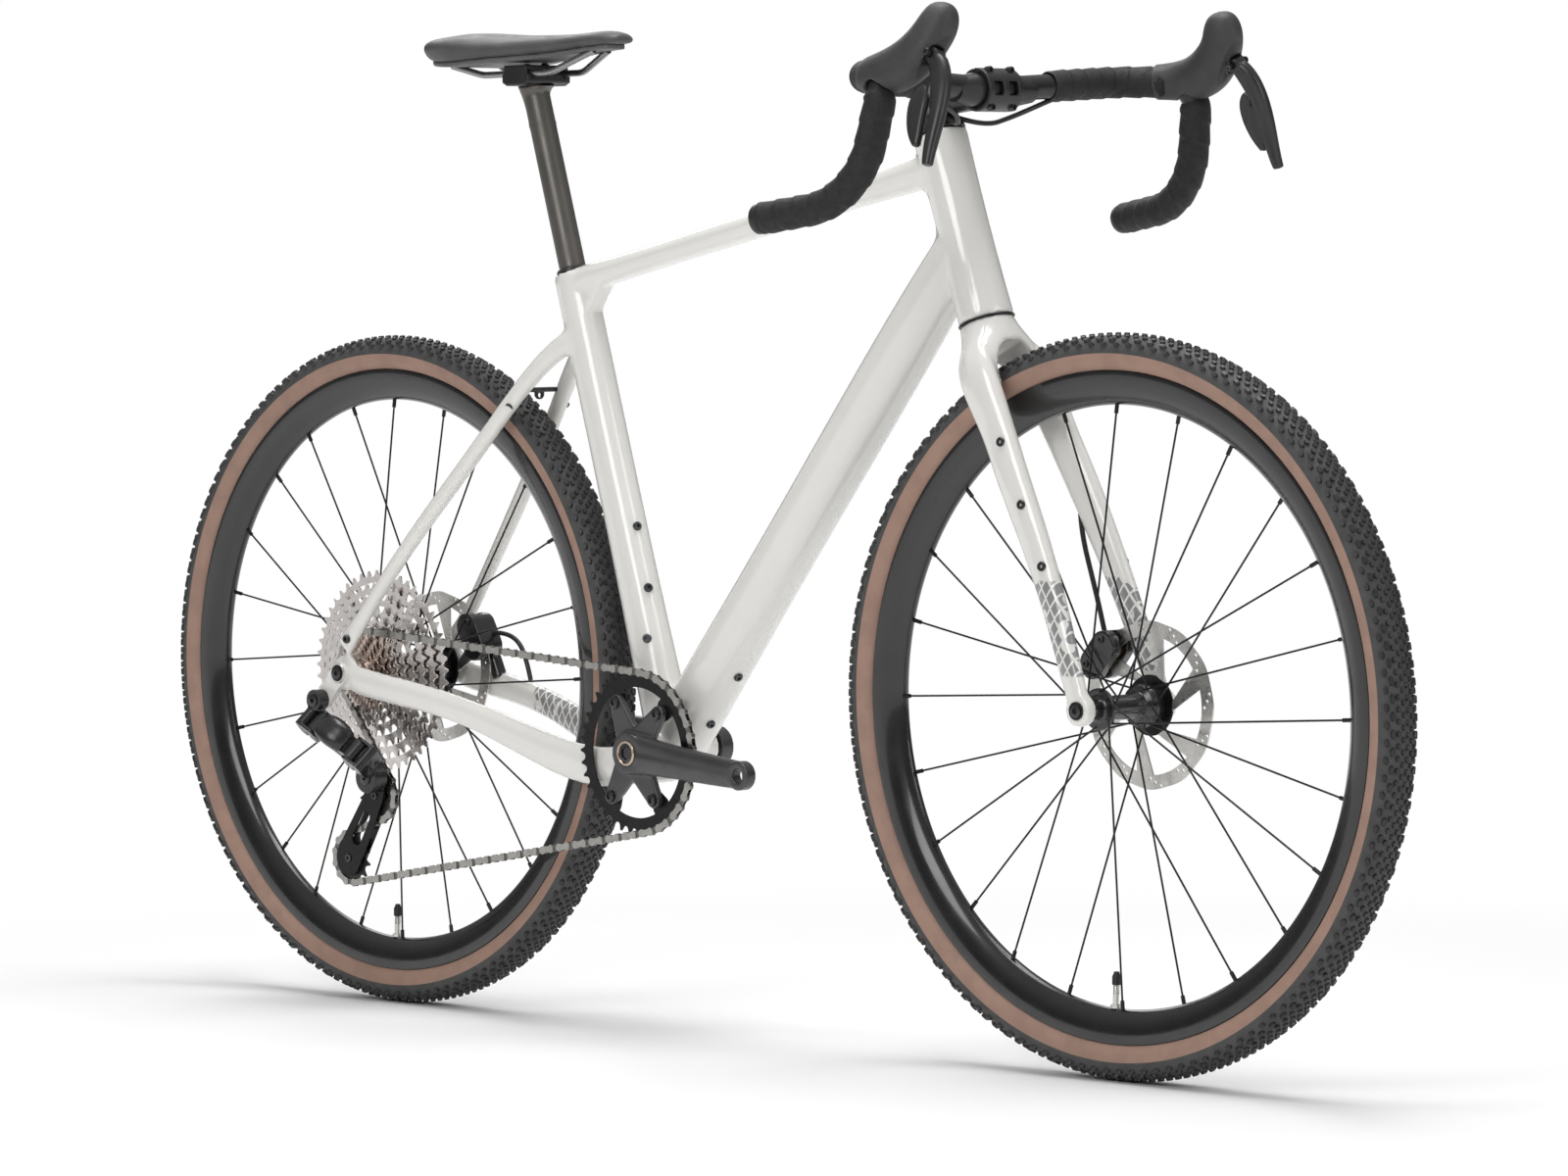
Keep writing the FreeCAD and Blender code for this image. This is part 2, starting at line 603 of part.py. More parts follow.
def fork():
    """Steerer, crown and two raked legs as one moulding, hollowed over the tyre."""
    crown = moulded([(fork_point(down + CROWN_GAP, ahead), width, depth)
                     for down, ahead, width, depth in FORK_CROWN], squareness=2.0)
    leg = moulded([(fork_point(down, ahead, out), width, depth) for down, ahead, out, width, depth in FORK_LEG])
    inner = FRONT_HUB_WIDTH / 2
    end = bore(FRONT_AXLE, FORK_END_RADIUS, inner, inner + FORK_END_THICKNESS)
    steerer_top = HEAD_TUBE_LENGTH + COVER_HEIGHT + STEM_CLAMP_HEIGHT - 2
    steerer = rod(head(-10), head(steerer_top), STEERER_RADIUS)
    leg = leg.fuse(end)
    body = crown.fuse(leg).fuse(mirrored(leg)).fuse(steerer)
    return body.cut([
        tyre_room(FRONT_AXLE, FORK_ROOM_TOP),
        bore(FRONT_AXLE, AXLE_RADIUS, -inner - 30, inner + 30),
        bore(FRONT_AXLE, FORK_END_RADIUS + 10, -inner, inner),
    ])


def rim(axle):
    """Deep hookless rim with its tyre well, and the valve that stands on its inner edge."""
    half = RIM_WIDTH / 2
    edge = RIM_EDGE_RADIUS
    bed = edge - BEAD_DEPTH
    low = edge - RIM_DEPTH

    def p(radius, y):
        return axle + X_AXIS * radius + Y_AXIS * y
    lip = half - RIM_WALL
    face = arc_face((
        (p(edge, -half), p(edge, -lip)), (p(edge, -lip), p(bed, -lip)), (p(bed, -lip), p(bed, lip)),
        (p(bed, lip), p(edge, lip)), (p(edge, lip), p(edge, half)),
        (p(edge, half), p(edge - 0.5 * RIM_DEPTH, half * 0.88), p(low + 3, half * 0.36)),
        (p(low + 3, half * 0.36), p(low, 0), p(low + 3, -half * 0.36)),
        (p(low + 3, -half * 0.36), p(edge - 0.5 * RIM_DEPTH, -half * 0.88), p(edge, -half)),
    ))
    hoop = face.revolve(axle, Y_AXIS, 360)
    outward = turn(-Z_AXIS, Y_AXIS, VALVE_ANGLE)
    seat_point = axle + outward * (low + 1.5)
    valve = rod(seat_point, axle + outward * (low - VALVE_LENGTH), VALVE_RADIUS).cut(hoop)
    return Part.makeCompound([hoop, valve])


def tyre(axle):
    """Open casing from bead to bead, round at the crown and drawn in at the rim."""
    half = TYRE_WIDTH / 2
    lip = RIM_WIDTH / 2 - RIM_WALL - 0.1
    bed = RIM_EDGE_RADIUS - BEAD_DEPTH + 0.1
    edge = RIM_EDGE_RADIUS + 0.3
    crown = TYRE_RADIUS
    height = crown - edge
    wall = TYRE_WALL

    def p(radius, y):
        return axle + X_AXIS * radius + Y_AXIS * y
    side = edge + TYRE_SIDE * height
    shoulder = edge + TYRE_SHOULDER * height
    crown_half = half * TYRE_SHOULDER_WIDTH
    inside = shoulder - wall / 2
    runs = []
    for s in (1, -1):
        runs.append((
            (p(bed, s * (lip - 3)), p(bed, s * lip)), (p(bed, s * lip), p(edge, s * lip)),
            (p(edge, s * lip), p(edge, s * (lip + 2))),
            (p(edge, s * (lip + 2)), p(side, s * half), p(shoulder, s * crown_half)),
        ))
    outer = list(runs[0])
    outer.append((p(shoulder, crown_half), p(crown, 0), p(shoulder, -crown_half)))
    outer.extend(tuple(reversed(run)) for run in reversed(runs[1]))
    outer.append((p(bed, -(lip - 3)), p(edge, -(lip - 2))))
    outer.append((p(edge, -(lip - 2)), p(side, -(half - wall)), p(inside, wall - crown_half)))
    outer.append((p(inside, wall - crown_half), p(crown - wall, 0), p(inside, crown_half - wall)))
    outer.append((p(inside, crown_half - wall), p(side, half - wall), p(edge, lip - 2)))
    outer.append((p(edge, lip - 2), p(bed, lip - 3)))
    return arc_face(outer).revolve(axle, Y_AXIS, 360)


def spokes(axle, flanges, flange_radius):
    """Crossed spokes, half to each flange, every one ending in its nipple at the rim."""
    low = RIM_EDGE_RADIUS - RIM_DEPTH
    set_radius = flange_radius - SPOKE_HOLE_INSET
    group = []
    for i in range(SPOKE_COUNT):
        side = i % 2
        lead = 1 if (i // 2) % 2 else -1
        rim_angle = 360.0 * i / SPOKE_COUNT
        outward = turn(Z_AXIS, Y_AXIS, rim_angle)
        hub_arm = turn(Z_AXIS, Y_AXIS, rim_angle + lead * SPOKE_LEAN)
        split = lead * SPOKE_SPLIT
        foot = axle + hub_arm * set_radius + Y_AXIS * (flanges[side] + split)
        tip = axle + outward * (low + SPOKE_SEAT) + Y_AXIS * (SPOKE_OFFSET if side else -SPOKE_OFFSET)
        wire = rod(foot, tip, SPOKE_RADIUS)
        nipple = rod(tip, tip + unit(foot - tip) * NIPPLE_LENGTH, NIPPLE_RADIUS)
        group.append(wire.fuse(nipple))
    return Part.makeCompound(group)


def hub_profile(flanges, flange_radius, low, high, rotor_plane):
    """Half section of a hub shell from its low end to its high end."""
    half = FLANGE_THICKNESS / 2
    bore_radius = AXLE_RADIUS + RUNNING_FIT
    rotor_face = rotor_plane - ROTOR_THICKNESS / 2
    return [(bore_radius, low), (HUB_END_RADIUS, low), (HUB_END_RADIUS, flanges[0] - half - 1.5),
            (HUB_BARREL_RADIUS + 1, flanges[0] - half), (flange_radius, flanges[0] - half),
            (flange_radius, flanges[0] + half), (HUB_BARREL_RADIUS + 1, flanges[0] + half + 3),
            (HUB_BARREL_RADIUS, flanges[0] + half + 12), (HUB_BARREL_RADIUS, flanges[1] - half - 12),
            (HUB_BARREL_RADIUS + 2, flanges[1] - half - 3), (flange_radius, flanges[1] - half),
            (flange_radius, flanges[1] + half), (ROTOR_BORE + 3, flanges[1] + half + 1), (ROTOR_BORE + 3, rotor_face),
            (ROTOR_BORE, rotor_face), (ROTOR_BORE, rotor_plane + ROTOR_THICKNESS / 2 + 0.1),
            (ROTOR_BORE + 2, rotor_plane + ROTOR_THICKNESS / 2 + 0.1), (ROTOR_BORE + 1, rotor_plane + 4),
            (HUB_END_RADIUS, rotor_plane + 4), (HUB_END_RADIUS, high), (bore_radius, high)]


def front_hub():
    half = FRONT_HUB_WIDTH / 2 - CLEARANCE
    return turned(hub_profile(FRONT_FLANGES, FRONT_FLANGE_RADIUS, -half, half,
                              FRONT_HUB_WIDTH / 2 - ROTOR_OFFSET_FRONT), FRONT_AXLE)


def rear_hub():
    half = REAR_HUB_WIDTH / 2 - CLEARANCE
    return turned(hub_profile(REAR_FLANGES, REAR_FLANGE_RADIUS, -half, half,
                              REAR_HUB_WIDTH / 2 - ROTOR_OFFSET_REAR), REAR_AXLE)


def ring_wire(centre, radius):
    return Part.Wire([Part.Circle(centre, Y_AXIS, radius).toShape()])


def polar(centre, radius, degrees):
    """Point at an angle about Y, from +X towards +Z."""
    angle = math.radians(degrees)
    return centre + V(radius * math.cos(angle), 0, radius * math.sin(angle))


def window(centre, inner, outer, start, end, sweep=0.0):
    """Opening between two radii; sweep slants its outer end round the axle."""
    mid_in = (start + end) / 2
    corners = (polar(centre, inner, start), polar(centre, inner, end),
               polar(centre, outer, end + sweep), polar(centre, outer, start + sweep))
    return Part.Wire([
        Part.Arc(corners[0], polar(centre, inner, mid_in), corners[1]).toShape(),
        Part.LineSegment(corners[1], corners[2]).toShape(),
        Part.Arc(corners[2], polar(centre, outer, mid_in + sweep), corners[3]).toShape(),
        Part.LineSegment(corners[3], corners[0]).toShape(),
    ])


def rotor(axle, plane):
    """Brake disc with a waved edge, slanted arms and vent holes in groups of three."""
    centre = at_y(axle, plane - ROTOR_THICKNESS / 2)
    waves = 2 * ROTOR_ARMS
    edge = []
    for i in range(waves * 4):
        share = 360.0 * i / (waves * 4)
        edge.append(polar(centre, ROTOR_RADIUS - ROTOR_WAVE * (1 - math.cos(math.radians(share * waves))) / 2, share))
    curve = Part.BSplineCurve()
    curve.interpolate(Points=edge, PeriodicFlag=True)
    holes = [ring_wire(centre, ROTOR_BORE)]
    step = 360.0 / ROTOR_ARMS
    track = ROTOR_RADIUS - ROTOR_TRACK
    for arm in range(ROTOR_ARMS):
        holes.append(window(centre, ROTOR_CARRIER_RADIUS, track, arm * step + ROTOR_ARM_EDGE,
                            (arm + 1) * step - ROTOR_ARM_EDGE, ROTOR_ARM_SWEEP))
        for group in range(2):
            for row in range(3):
                angle = arm * step + group * step / 2 + VENT_TURN * row
                holes.append(ring_wire(polar(centre, track + VENT_EDGE + VENT_STEP * row, angle), VENT_RADIUS))
    return Part.Face([Part.Wire([curve.toShape()])] + holes).extrude(Y_AXIS * ROTOR_THICKNESS)


def pitch_radius(teeth):
    return CHAIN_PITCH / (2 * math.sin(math.pi / teeth))


def sprocket_wire(centre, teeth, phase):
    """Toothed outline: a round seat for each chain roller and a flat-topped tooth between two seats."""
    radius = pitch_radius(teeth)
    seat_radius = ROLLER_RADIUS + SEAT_CLEARANCE
    tip_radius = radius + TOOTH_TIP
    tip_half = math.degrees(TOOTH_TIP_HALF / tip_radius)
    open_angle = math.radians(SEAT_OPENING)
    edges = []
    for i in range(teeth):
        angle = phase + 360.0 * i / teeth
        spot = polar(centre, radius, angle)
        inward = unit(centre - spot)
        ahead = polar(V(0, 0, 0), 1, angle + 90)
        low = spot + inward * (seat_radius * math.cos(open_angle))
        start = low - ahead * (seat_radius * math.sin(open_angle))
        end = low + ahead * (seat_radius * math.sin(open_angle))
        tip = angle + 180.0 / teeth
        tip_start = polar(centre, tip_radius, tip - tip_half)
        tip_end = polar(centre, tip_radius, tip + tip_half)
        following = polar(centre, radius, angle + 360.0 / teeth)
        inward_next = unit(centre - following)
        ahead_next = polar(V(0, 0, 0), 1, angle + 360.0 / teeth + 90)
        next_start = (following + inward_next * (seat_radius * math.cos(open_angle))
                      - ahead_next * (seat_radius * math.sin(open_angle)))
        edges.append(Part.Arc(start, spot + inward * seat_radius, end).toShape())
        edges.append(Part.LineSegment(end, tip_start).toShape())
        edges.append(Part.LineSegment(tip_start, tip_end).toShape())
        edges.append(Part.LineSegment(tip_end, next_start).toShape())
    return Part.Wire(edges)


def sprocket(axis_point, plane, teeth, thickness, phase, holes):
    """Sprocket centred on a plane, with hole wires made by a function of its centre."""
    centre = at_y(axis_point, plane - thickness / 2)
    return Part.Face([sprocket_wire(centre, teeth, phase)] + holes(centre)).extrude(Y_AXIS * thickness)


def cog_plane(index):
    return -(COG_FIRST_PLANE - COG_STEP * index)


# Chain path in the drive plane: ring, tension pulley, guide pulley, cog in use
RING_R = pitch_radius(RING_TEETH)
COG_R = pitch_radius(COG_TEETH[COG_IN_USE])
PULLEY_R = pitch_radius(PULLEY_TEETH)
CHAIN_PLANE = cog_plane(COG_IN_USE)


def cage_points(angle):
    """Guide and tension pulley centres with the cage turned by an angle about its pivot."""
    pivot = REAR_AXLE + CAGE_PIVOT
    guide = pivot + GUIDE_OFFSET
    tension = guide + turn(V(0, 0, -CAGE_LENGTH), Y_AXIS, angle)
    return guide, tension


def chain_runs(angle):
    """Straight and curved runs of the closed chain, each with its length in links."""
    guide, tension = cage_points(angle)
    wheels = ((BB, RING_TEETH, 1, -RING_PLANE), (tension, PULLEY_TEETH, 1, CHAIN_PLANE),
              (guide, PULLEY_TEETH, -1, CHAIN_PLANE), (REAR_AXLE, COG_TEETH[COG_IN_USE], 1, CHAIN_PLANE))
    tangents = []
    for (a, teeth_a, sense_a, _), (b, teeth_b, sense_b, _) in zip(wheels, wheels[1:] + wheels[:1]):
        reach_a = sense_a * pitch_radius(teeth_a)
        reach_b = sense_b * pitch_radius(teeth_b)
        gap = V(b.x - a.x, 0, b.z - a.z)
        heading = math.atan2(gap.z, gap.x) - math.asin((reach_a - reach_b) / gap.Length)
        normal = V(-math.sin(heading), 0, math.cos(heading))
        tangents.append((a + normal * reach_a, b + normal * reach_b, math.degrees(heading)))
    runs = []
    for i, (centre, teeth, sense, plane) in enumerate(wheels):
        leave, reach, heading = tangents[i]
        arrive_heading = tangents[i - 1][2]
        swing = ((arrive_heading - heading) * sense) % 360.0
        start = arrive_heading + 90.0 * sense
        runs.append(("arc", swing * teeth / 360.0, centre, pitch_radius(teeth), start, -sense * 360.0 / teeth, plane))
        next_plane = wheels[(i + 1) % 4][3]
        runs.append(("line", (reach - leave).Length / CHAIN_PITCH, at_y(leave, plane), at_y(reach, next_plane)))
    return runs


def chain_links(angle):
    return sum(run[1] for run in chain_runs(angle))


def settled_cage():
    """Cage angle near its rest place at which the chain closes on an even count of links."""
    goal = 2 * round(chain_links(CAGE_REST) / 2)
    low, high = CAGE_REST - 14, CAGE_REST + 14
    rising = chain_links(high) > chain_links(low)
    for _ in range(60):
        middle = (low + high) / 2
        if (chain_links(middle) < goal) == rising:
            low = middle
        else:
            high = middle
    return middle, goal


CAGE_ANGLE, LINK_COUNT = settled_cage()
CHAIN_RUNS = chain_runs(CAGE_ANGLE)
GUIDE, TENSION = cage_points(CAGE_ANGLE)


def chain_joint(index):
    """Pin of the chain at a whole number of links from the start of the ring's arc."""
    left = index % LINK_COUNT
    for run in CHAIN_RUNS:
        if left <= run[1]:
            break
        left -= run[1]
    if run[0] == "line":
        return mix(run[2], run[3], left / run[1])
    return at_y(polar(run[2], run[3], run[4] + run[5] * left), run[6])


def seat_phase(order):
    """Angle of one roller on the wheel that comes in this order along the chain."""
    passed = sum(run[1] for run in CHAIN_RUNS[:2 * order])
    run = CHAIN_RUNS[2 * order]
    return run[4] + run[5] * (math.ceil(passed) - passed)


def figure_eight(y):
    """Outline of a link plate about two pins on X, at height y of its inner face."""
    half = CHAIN_PITCH / 2
    left, right = V(-half, y, 0), V(half, y, 0)
    lift = math.radians(52)
    dx, dz = LINK_RADIUS * math.cos(lift), LINK_RADIUS * math.sin(lift)
    a, b = right + V(-dx, 0, dz), left + V(dx, 0, dz)
    c, d = left + V(dx, 0, -dz), right + V(-dx, 0, -dz)
    return arc_face((
        (a, V(0, y, LINK_WAIST), b), (b, left - V(LINK_RADIUS, 0, 0), c),
        (c, V(0, y, -LINK_WAIST), d), (d, right + V(LINK_RADIUS, 0, 0), a),
    ))


def link_solid(plate_inner, core_radius, core_bore):
    """Two link plates joined by their rollers or pins, centred on the origin along X."""
    half = CHAIN_PITCH / 2
    plates = [figure_eight(plate_inner).extrude(Y_AXIS * LINK_PLATE)]
    plates.append(mirrored(plates[0]))
    reach = plate_inner + LINK_PLATE
    cores = [rod(V(x, -reach, 0), V(x, reach, 0), core_radius) for x in (-half, half)]
    body = plates[0].fuse([plates[1]] + cores)
    if core_bore:
        body = body.cut([rod(V(x, -reach - 1, 0), V(x, reach + 1, 0), core_bore) for x in (-half, half)])
    return body


def chain():
    """Roller chain on its path: roller links and pin links by turns."""
    inner_face = LINK_INNER_WIDTH / 2
    roller_link = link_solid(inner_face, ROLLER_RADIUS, PIN_RADIUS + LINK_GAP)
    pin_link = link_solid(inner_face + LINK_PLATE + LINK_GAP, PIN_RADIUS, 0)
    links = []
    for i in range(LINK_COUNT):
        start, end = chain_joint(i), chain_joint(i + 1)
        run = unit(end - start)
        lift = unit(run.cross(Y_AXIS))
        place = FreeCAD.Placement(mix(start, end, 0.5), FreeCAD.Rotation(run, lift.cross(run), lift, "XZY"))
        link = (roller_link if i % 2 else pin_link).copy()
        link.Placement = place
        links.append(link)
    return Part.makeCompound(links)


def cassette():
    """Twelve cogs on the freehub, the large ones lightened, with spacers and the lockring."""
    pieces = []
    for i, teeth in enumerate(COG_TEETH):
        root = pitch_radius(teeth) - ROLLER_RADIUS - SEAT_CLEARANCE
        hole = FREEHUB_RADIUS if i else FREEHUB_RADIUS - 4.5
        phase = seat_phase(3) if i == COG_IN_USE else 90.0

        def holes(centre, root=root, hole=hole):
            wires = [ring_wire(centre, hole)]
            if root - hole > 22:
                for arm in range(6):
                    wires.append(window(centre, hole + 8, root - 6, arm * 60 + 8, arm * 60 + 52, 10))
            return wires
        pieces.append(sprocket(REAR_AXLE, cog_plane(i), teeth, COG_THICKNESS, phase, holes))
        if i:
            low = cog_plane(i - 1) + COG_THICKNESS / 2
            high = cog_plane(i) - COG_THICKNESS / 2
            pieces.append(turned(((FREEHUB_RADIUS, low), (FREEHUB_RADIUS + 2.4, low), (FREEHUB_RADIUS + 2.4, high),
                                  (FREEHUB_RADIUS, high)), REAR_AXLE))
    lock = cog_plane(0)
    inner = HUB_END_RADIUS + RUNNING_FIT
    pieces.append(turned(((inner, lock - 2.2), (FREEHUB_RADIUS - 3, lock - 2.2), (FREEHUB_RADIUS - 3, lock - 0.9),
                          (FREEHUB_RADIUS - 4.5, lock - 0.9), (FREEHUB_RADIUS - 4.5, lock + 2.6), (inner, lock + 2.6)),
                         REAR_AXLE))
    return Part.makeCompound(pieces)


def freehub():
    """Ratchet body that carries the cogs on the hub."""
    low = cog_plane(0) + COG_THICKNESS / 2 + 1.9
    high = REAR_FLANGES[0] - FLANGE_THICKNESS / 2 - 1.5 - CLEARANCE
    inner = HUB_END_RADIUS + RUNNING_FIT
    return turned(((inner, low), (FREEHUB_RADIUS, low), (FREEHUB_RADIUS, high), (inner, high)), REAR_AXLE)


def crank_direction(turned_by=0.0):
    return polar(V(0, 0, 0), 1, CRANK_ANGLE + turned_by)


def crank_arm(direction):
    """Forged arm on the +Y side with its hub, pedal eye and spindle bore."""
    stations = []
    for share, out, half_width, half_height in CRANK_ARM:
        stations.append((BB + direction * (CRANK_LENGTH * share) + Y_AXIS * out, half_width, half_height))
    pedal = BB + direction * CRANK_LENGTH
    out = CRANK_ARM[-1][1]
    arm = moulded(stations, squareness=3.0)
    hub = bore(BB, CRANK_HUB_RADIUS, CRANK_INNER, CRANK_OUTER)
    end = bore(pedal, PEDAL_EYE_RADIUS, out - PEDAL_EYE_HALF, out + PEDAL_EYE_HALF)
    return arm.fuse([hub, end])


def crank_bores(direction):
    pedal = BB + direction * CRANK_LENGTH
    return [bore(BB, SPINDLE_RADIUS, CRANK_INNER - 5, CRANK_OUTER + 30),
            bore(pedal, PEDAL_THREAD_RADIUS, CRANK_INNER, CRANK_OUTER + 30)]


def spider_bolts():
    return [polar(BB, SPIDER_BOLT_CIRCLE, CRANK_ANGLE + angle) for angle in SPIDER_ANGLES]


def right_crank():
    """Drive-side arm with the four spider arms that carry the chainring."""
    direction = crank_direction()
    body = mirrored(crank_arm(direction))
    face = -(RING_PLANE + RING_THICKNESS / 2)
    for bolt in spider_bolts():
        outline = strap(at_y(BB, face), CRANK_HUB_RADIUS - 2, at_y(bolt, face), SPIDER_EYE, Y_AXIS)
        body = body.fuse(outline.extrude(Y_AXIS * -SPIDER_THICKNESS))
    holes = [mirrored(hole) for hole in crank_bores(direction)]
    holes += [bore(bolt, RING_BOLT_RADIUS, -RING_PLANE - 30, -RING_PLANE + 5) for bolt in spider_bolts()]
    return body.cut(holes)


def left_crank():
    direction = crank_direction(180)
    return crank_arm(direction).cut(crank_bores(direction))


def crank_spindle():
    """Hollow spindle from arm to arm."""
    return bore(BB, SPINDLE_RADIUS, -CRANK_OUTER, CRANK_OUTER).cut(
        bore(BB, SPINDLE_RADIUS - SPINDLE_WALL, -CRANK_OUTER - 1, CRANK_OUTER + 1))


def chainring():
    """Toothed ring with four tabs that meet the spider's arms."""
    def holes(centre):
        return [ring_wire(centre, RING_R - RING_RIM)]
    body = sprocket(BB, -RING_PLANE, RING_TEETH, RING_THICKNESS, seat_phase(0), holes)
    low = -RING_PLANE - RING_THICKNESS / 2
    tabs = []
    for bolt in spider_bolts():
        outward = unit(bolt - BB)
        root = at_y(BB + outward * (RING_R - RING_RIM - 3), low)
        outline = strap(at_y(bolt, low), SPIDER_EYE, root, RING_TAB_ROOT, Y_AXIS)
        tabs.append(outline.extrude(Y_AXIS * RING_THICKNESS))
    body = body.fuse(tabs)
    return body.cut([bore(bolt, RING_BOLT_RADIUS, low - 5, low + 10) for bolt in spider_bolts()]).removeSplitter()


def chainring_bolts():
    """Four bolts with a head outside and a nut inside."""
    inside = -RING_PLANE + RING_THICKNESS / 2
    outside = -RING_PLANE - RING_THICKNESS / 2 - SPIDER_THICKNESS
    bolts = []
    for spot in spider_bolts():
        shank = bore(spot, RING_BOLT_RADIUS, outside, inside)
        nut = bore(spot, RING_BOLT_HEAD, inside, inside + RING_NUT_HEIGHT)
        head_disc = bore(spot, RING_BOLT_HEAD, outside - RING_HEAD_HEIGHT, outside)
        bolts.append(shank.fuse([nut, head_disc]))
    return Part.makeCompound(bolts)


def axle_shaft(axle, low, high):
    """Through axle with a flanged head outside its low end."""
    shaft = bore(axle, AXLE_RADIUS, low, high)
    return shaft.fuse(bore(axle, AXLE_HEAD_RADIUS, low - AXLE_HEAD_LENGTH, low))


def front_axle():
    face = FRONT_HUB_WIDTH / 2 + FORK_END_THICKNESS
    return axle_shaft(FRONT_AXLE, -face, face)


def rear_axle():
    face = REAR_HUB_WIDTH / 2 + DROPOUT_THICKNESS
    return axle_shaft(REAR_AXLE, -face - HANGER_THICKNESS, face)


def derailleur_hanger():
    """Plate clamped by the axle outside the drive-side dropout, with the mount for the derailleur."""
    face = -(REAR_HUB_WIDTH / 2 + DROPOUT_THICKNESS)
    axle = at_y(REAR_AXLE, face)
    pivot = at_y(REAR_AXLE + HANGER_PIVOT, face)
    body = strap(axle, HANGER_RADIUS, pivot, HANGER_EYE_RADIUS, Y_AXIS).extrude(Y_AXIS * -HANGER_THICKNESS)
    low, high = face - 2 * HANGER_THICKNESS, face + HANGER_THICKNESS
    return body.cut([bore(REAR_AXLE, AXLE_RADIUS, low, high), bore(pivot, MOUNT_BOLT_RADIUS, low, high)])


# Slanted parallelogram of the derailleur
LINK_A = REAR_AXLE + LINK_TOP
LINK_B = REAR_AXLE + LINK_FOOT
LINK_RUN = unit(LINK_B - LINK_A)
SIDEWAYS = unit(Y_AXIS - LINK_RUN * LINK_RUN.y)
UPWARD = LINK_RUN.cross(SIDEWAYS)
SWING = SIDEWAYS * math.cos(math.radians(LINK_SLANT)) - UPWARD * math.sin(math.radians(LINK_SLANT))
LINK_AXIS = LINK_RUN.cross(SWING)
INNER_A = LINK_A + SWING * LINK_SPREAD
INNER_B = LINK_B + SWING * LINK_SPREAD


def link_bar(start, end, radius):
    """Link between two pivots, with its pin holes."""
    low = LINK_AXIS * -LINK_HALF_WIDTH
    outline = strap(start + low, radius, end + low, radius, LINK_AXIS)
    body = outline.extrude(LINK_AXIS * (2 * LINK_HALF_WIDTH))
    reach = LINK_AXIS * (LINK_HALF_WIDTH + 5)
    return body.cut([rod(spot - reach, spot + reach, LINK_PIN_RADIUS + RUNNING_FIT) for spot in (start, end)])


def knuckle_ears(outer, inner, toward):
    """Two ears beside the links, with the pins through them, on a bridge set away from the links."""
    pieces = []
    gap = LINK_HALF_WIDTH + CLEARANCE
    for side in (1, -1):
        base = LINK_AXIS * (side * gap)
        thick = LINK_AXIS * (side * LINK_EAR)
        ear = strap(outer + base, LINK_EAR_RADIUS, inner + base, LINK_EAR_TIP, LINK_AXIS)
        bridge = strap(outer + base, LINK_EAR_RADIUS, outer + base + toward, BRIDGE_END, LINK_AXIS)
        pieces.append(ear.extrude(thick))
        pieces.append(bridge.extrude(thick))
    reach = LINK_AXIS * (gap + LINK_EAR)
    pieces.append(rod(outer - reach, outer + reach, LINK_PIN_RADIUS))
    pieces.append(rod(inner - reach, inner + reach, LINK_PIN_RADIUS))
    block = strap(outer + toward - reach, BRIDGE_END, inner + toward - reach, BRIDGE_END, LINK_AXIS)
    pieces.append(block.extrude(reach * 2))
    return pieces


def b_knuckle(hanger_shape):
    """Upper knuckle: bolted to the hanger, carrying both links."""
    face = -(REAR_HUB_WIDTH / 2 + DROPOUT_THICKNESS + HANGER_THICKNESS)
    pivot = REAR_AXLE + HANGER_PIVOT
    barrel = bore(pivot, B_KNUCKLE_RADIUS, face - KNUCKLE_LENGTH, face)
    toward = LINK_RUN * -LINK_BRIDGE
    pieces = knuckle_ears(LINK_A, INNER_A, toward)
    anchor = at_y(pivot, face - KNUCKLE_LENGTH / 2)
    pieces.append(rod(anchor, mix(LINK_A, INNER_A, 0.3) + toward * 1.1, LINK_EAR_TIP))
    pin = bore(pivot, MOUNT_BOLT_RADIUS, face, face + HANGER_THICKNESS)
    return barrel.fuse(pieces).cut(hanger_shape).fuse(pin).removeSplitter()


def outer_link():
    """Outer link with the bulged housing on its outer face."""
    housing = moulded([(mix(LINK_A, LINK_B, share) - SWING * out, half_width, half_depth)
                       for share, out, half_width, half_depth in LINK_HOUSING], side=LINK_AXIS, squareness=3.0)
    return link_bar(LINK_A, LINK_B, LINK_BODY_RADIUS).fuse(housing)


def inner_link():
    return link_bar(INNER_A, INNER_B, INNER_LINK_RADIUS)


def p_knuckle():
    """Lower knuckle: keeps its attitude and carries the cage on a lateral pivot."""
    toward = LINK_RUN * LINK_BRIDGE
    pieces = knuckle_ears(LINK_B, INNER_B, toward)
    pivot = REAR_AXLE + CAGE_PIVOT
    face = CHAIN_PLANE - CAGE_HALF_GAP - CAGE_PLATE - CLEARANCE
    barrel = bore(pivot, P_KNUCKLE_RADIUS, face - P_KNUCKLE_LENGTH, face)
    middle = at_y(pivot, face - P_KNUCKLE_LENGTH / 2)
    pieces.append(rod(mix(LINK_B, INNER_B, 0.4) + toward * 1.1, middle, BRIDGE_END))
    stub = bore(pivot, CAGE_STUB_RADIUS, face, face + CAGE_PLATE + CLEARANCE)
    beyond = bore(pivot, CAGE_LENGTH, face, face + CAGE_LENGTH)
    return barrel.fuse(pieces).cut(beyond).fuse(stub).removeSplitter()


